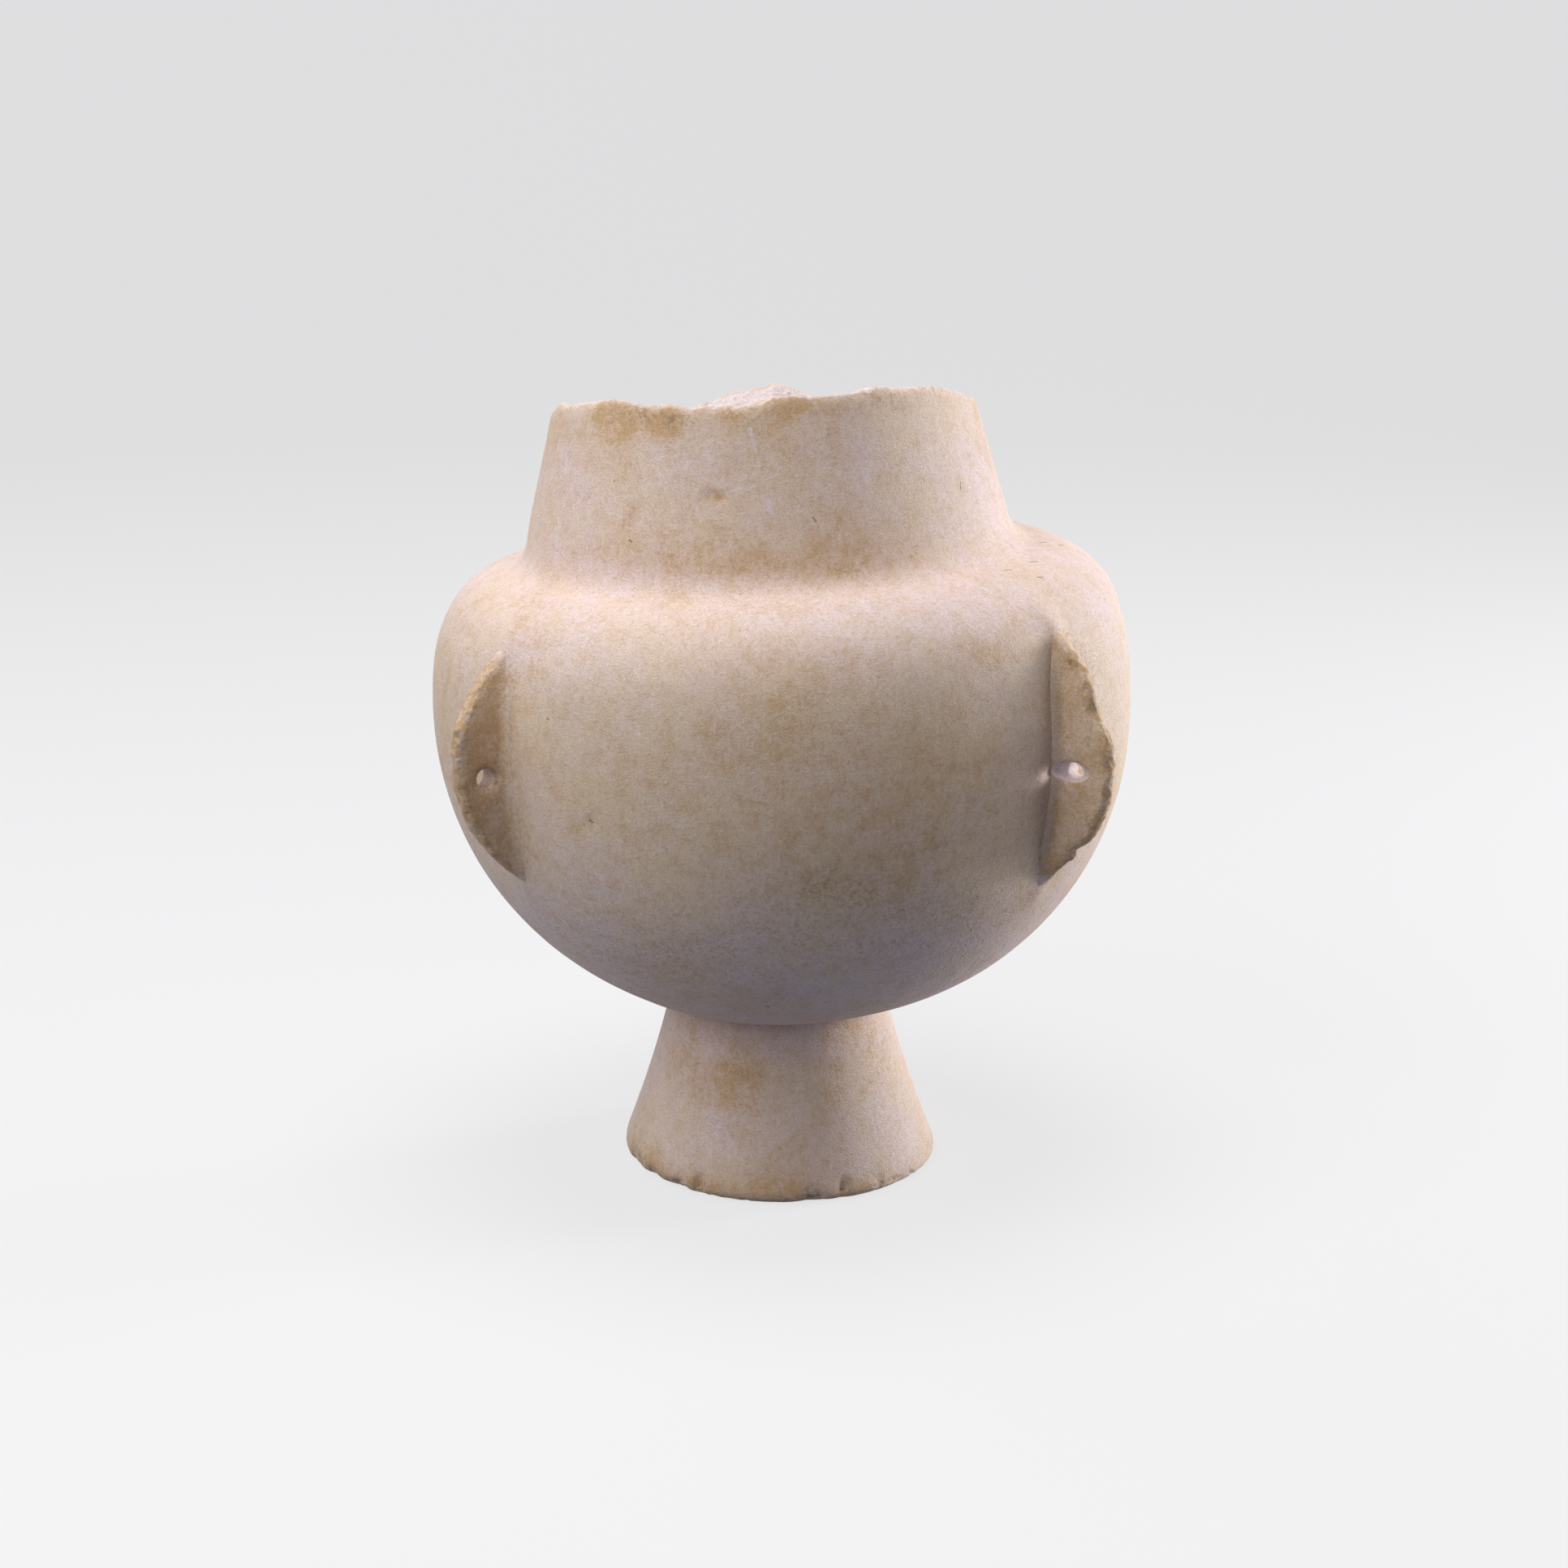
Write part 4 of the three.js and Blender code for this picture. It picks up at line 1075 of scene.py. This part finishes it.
class JAR_OT_lugs(bpy.types.Operator):
    """Add the four pierced lugs"""

    bl_idname = "jar.lugs"
    bl_label = "Lugs"

    def execute(self, context):
        form = Form(context.scene.jar_sizes)
        for name in LUGS:
            self.carve(form, Lug(form, name))
        return {"FINISHED"}

    def carve(self, form, lug):
        """Adds one lug, with wear on its crest and its own stains, and painted light and shade in its bore
        and on its crest. The two end centres come last among its points and carry no wear."""
        points, quads, ends, base = pierced(lug)
        centres = np.stack([points[end].mean(0) for end in ends])
        triangles = end_fans(ends, len(points))
        normals = corner_normals(points, quads)
        out = points[:, 0] - form.radius_at(points[:, 2])
        rise = lug.rise_at(points[:, 2])
        bare = smooth(-0.6, 0.3, out)
        worn = smooth(-3.2, -0.8, out - rise) * bare * smooth(0.8, 4.5, rise)
        tunnel = np.append(np.arange(len(points)) >= base, [False, False])
        place = lug.place(points)
        rough = noise(place, 4.0, 61) * 0.32 + noise(place, 1.9, 62) * 0.28 + noise(place, 0.9, 63) * 0.20
        rubbed = noise(place, 9.0, 64) * 0.12 + noise(place, 2.6, 65) * 0.045
        points = points + normals * ((rough * worn + rubbed * (1 - worn)) * bare)[:, None]
        points = np.concatenate([points, centres])
        place = lug.place(points)
        full = np.append(worn, [0.0, 0.0])
        rim = tunnel & (np.abs(points[:, 1]) > 2.8)
        masks = burial(form, place)
        patch = noise(place, 3.4, 66) + 0.5 * noise(place, 1.5, 67)
        flank = np.append(smooth(0.5, 4.0, rise) * bare, [0.0, 0.0])
        upper = smooth(-18, 2, place[:, 2] - form.widest)
        from_bore = np.hypot((points[:, 0] - lug.bore_r) / lug.wide, (points[:, 2] - lug.bore_z) / lug.high)
        inner = tunnel & (from_bore < form.bore_mouth / 2 + 0.2)
        masks["ochre"] = masks["ochre"] * 0.3 + flank * (0.48 + 0.06 * patch) + full * (0.30 + 0.5 * patch)
        # rim darkens the bore a little near its two mouths, as dirt and painted shade.
        masks["grime"] = masks["grime"] * 0.2 + full * (0.05 + smooth(0.2, 0.9, patch) * 0.4) + 0.04 * rim
        flecks = noise(place, 3.2, 68) + 0.5 * noise(place, 1.3, 69)
        # White chips on the worn crest, kept to its upper part as painted light where the lamps above light
        # the crest.
        masks["fresh"] = full * upper * smooth(0.1, 0.7, flecks) * 0.45
        # Inside the bore: white in the middle as painted light from the lamps beyond it, and warmer and
        # darker towards both mouths as dirt and painted shade; for some lugs the white spreads through the
        # whole bore.
        deep = np.maximum(1 - smooth(1.2, 3.2, np.abs(points[:, 1])), lug.clean) * inner
        masks["fresh"] = np.maximum(masks["fresh"], (0.45 + 0.4 * lug.clean) * deep)
        masks["ochre"] = np.where(inner, 0.7 - 0.55 * deep, masks["ochre"])
        masks["grime"] = np.where(inner, 0.5 - 0.5 * deep, masks["grime"])
        piece = add_mesh("jar_" + lug.name, form.askew(place), quads, triangles, masks)
        finish(piece, marble("worn marble"), "marble_worn", lug.name)


def area_lamp(name, place, target, size, power, colour):
    """A round lamp at a place in metres, aimed at the target."""
    lamp = bpy.data.lights.new(name, "AREA")
    lamp.shape = "DISK"
    lamp.size = size
    lamp.energy = power
    lamp.color = colour
    holder = bpy.data.objects.new(name, lamp)
    holder.location = place
    away = np.array(place) - np.array(target)
    holder.rotation_euler = (math.atan2(math.hypot(away[0], away[1]), away[2]), 0.0,
                             math.atan2(away[1], away[0]) + math.pi / 2)
    bpy.context.scene.collection.objects.link(holder)


def floor_paint(look):
    """Pale to the camera and in reflections, darker where it throws light back on the jar. What
    the camera sees is part lit, part glowing."""
    lit, glowing = (tuple(share * c for c in look.floor) for share in (0.22, 0.78))
    paint = bpy.data.materials.new("floor paint")
    paint.use_nodes = True
    tree = paint.node_tree
    shader = tree.nodes["Principled BSDF"]
    path = tree.nodes.new("ShaderNodeLightPath")
    seen = calc(tree, "ADD", path.outputs["Is Camera Ray"], path.outputs["Is Glossy Ray"])
    seen = calc(tree, "ADD", seen, path.outputs["Is Transmission Ray"], clamp=True)
    wire(tree, shader.inputs["Base Color"], mix_colour(tree, seen, look.bounce, lit))
    wire(tree, shader.inputs["Emission Color"], mix_colour(tree, seen, (0, 0, 0), glowing))
    shader.inputs["Emission Strength"].default_value = 1.0
    shader.inputs["Roughness"].default_value = 1.0
    shader.inputs["Specular IOR Level"].default_value = 0.0
    return paint


class JAR_OT_studio(bpy.types.Operator):
    """Add the floor, the lamps and the camera"""

    bl_idname = "jar.studio"
    bl_label = "Studio"

    def execute(self, context):
        scene = context.scene
        look = scene.jar_studio
        form = Form(scene.jar_sizes)
        scene.view_settings.view_transform = "Standard"
        near, far, bend, top = 1600, 2600, 1000, 2400
        sweep = np.concatenate([[[10, 0], [near, 0]], bezier([(near, 0), (far, 0), (far, bend)], 24)[1:],
                                [[far, top]]]).astype(float)
        rows, columns = len(sweep), 96
        points = np.concatenate([turned_grid(sweep, even_turn(columns)).reshape(-1, 3), [[0.0, 0.0, 0.0]]])
        floor = add_mesh("floor", points, ring_faces(rows, columns)[:, ::-1],
                         fan_faces(np.arange(columns), rows * columns, False))
        floor.data.materials.append(floor_paint(look))
        world = bpy.data.worlds.new("studio air")
        world.use_nodes = True
        world.node_tree.nodes["Background"].inputs["Color"].default_value = (0.95, 0.95, 1.0, 1.0)
        world.node_tree.nodes["Background"].inputs["Strength"].default_value = look.air
        scene.world = world
        middle = (0.0, 0.0, form.widest * MM)
        # Right, ahead and up from the widest level's centre in metres, then size, power and colour
        lamps = {
            "key lamp": (-0.7, 0.6, 0.9, 0.7, look.key_power, (1.0, 0.99, 1.0)),
            "front lamp": (-0.6, 0.95, 0.5, 0.6, look.front_power, (1.0, 0.985, 0.96)),
            "top lamp": (0.0, 0.0, 1.2, 0.8, look.top_power, (1.0, 0.99, 1.0)),
            "edge lamp": (1.1, -0.45, 0.1, 0.35, look.edge_power, (1.0, 0.985, 1.0)),
            "left side lamp": (-1.15, 0.1, 0.4, 0.7, look.side_power, (1.0, 0.98, 1.0)),
            "right side lamp": (1.15, 0.0, 0.15, 0.7, look.side_power * 1.35, (1.0, 0.98, 0.97)),
            "back lamp": (-0.6, -0.6, 0.9, 0.7, look.side_power * 0.7, (1.0, 0.985, 1.0)),
        }
        for name, (right, ahead, rise, size, power, colour) in lamps.items():
            place = RIGHT * right + AHEAD * ahead + np.array([0.0, 0.0, rise + middle[2]])
            area_lamp(name, tuple(place), middle, size, power, colour)
        lens = bpy.data.cameras.new("camera")
        lens.sensor_width = 36.0
        lens.lens = FOCAL / PICTURE * lens.sensor_width
        camera = bpy.data.objects.new("camera", lens)
        away, height, pitch = 0.8095, 0.1832, math.radians(14.48)
        camera.location = (AHEAD[0] * away, AHEAD[1] * away, middle[2] + height)
        camera.rotation_euler = (math.pi / 2 - pitch, 0.0, FRONT + math.pi / 2 - ASIDE / FOCAL)
        scene.collection.objects.link(camera)
        scene.camera = camera
        return {"FINISHED"}


STEPS = ("foot", "body", "collar", "lugs", "studio")


class JAR_PT_panel(bpy.types.Panel):
    """Sidebar panel with the jar's steps"""

    bl_idname = "JAR_PT_panel"
    bl_label = "Collared jar"
    bl_space_type = "VIEW_3D"
    bl_region_type = "UI"
    bl_category = "Jar"

    def draw(self, context):
        for step in STEPS:
            self.layout.operator(f"jar.{step}")
        for owner in (context.scene.jar_sizes, context.scene.jar_marble, context.scene.jar_studio):
            for name in owner.__annotations__:
                self.layout.prop(owner, name)


CLASSES = (JarSizes, MarbleLook, StudioLook, JAR_OT_foot, JAR_OT_body, JAR_OT_collar, JAR_OT_lugs,
           JAR_OT_studio, JAR_PT_panel)


def register():
    for item in CLASSES:
        bpy.utils.register_class(item)
    bpy.types.Scene.jar_sizes = PointerProperty(type=JarSizes)
    bpy.types.Scene.jar_marble = PointerProperty(type=MarbleLook)
    bpy.types.Scene.jar_studio = PointerProperty(type=StudioLook)


def unregister():
    del bpy.types.Scene.jar_sizes, bpy.types.Scene.jar_marble, bpy.types.Scene.jar_studio
    for item in reversed(CLASSES):
        bpy.utils.unregister_class(item)


def main():
    register()
    for step in STEPS:
        getattr(bpy.ops.jar, step)()


if __name__ == "__main__":
    main()
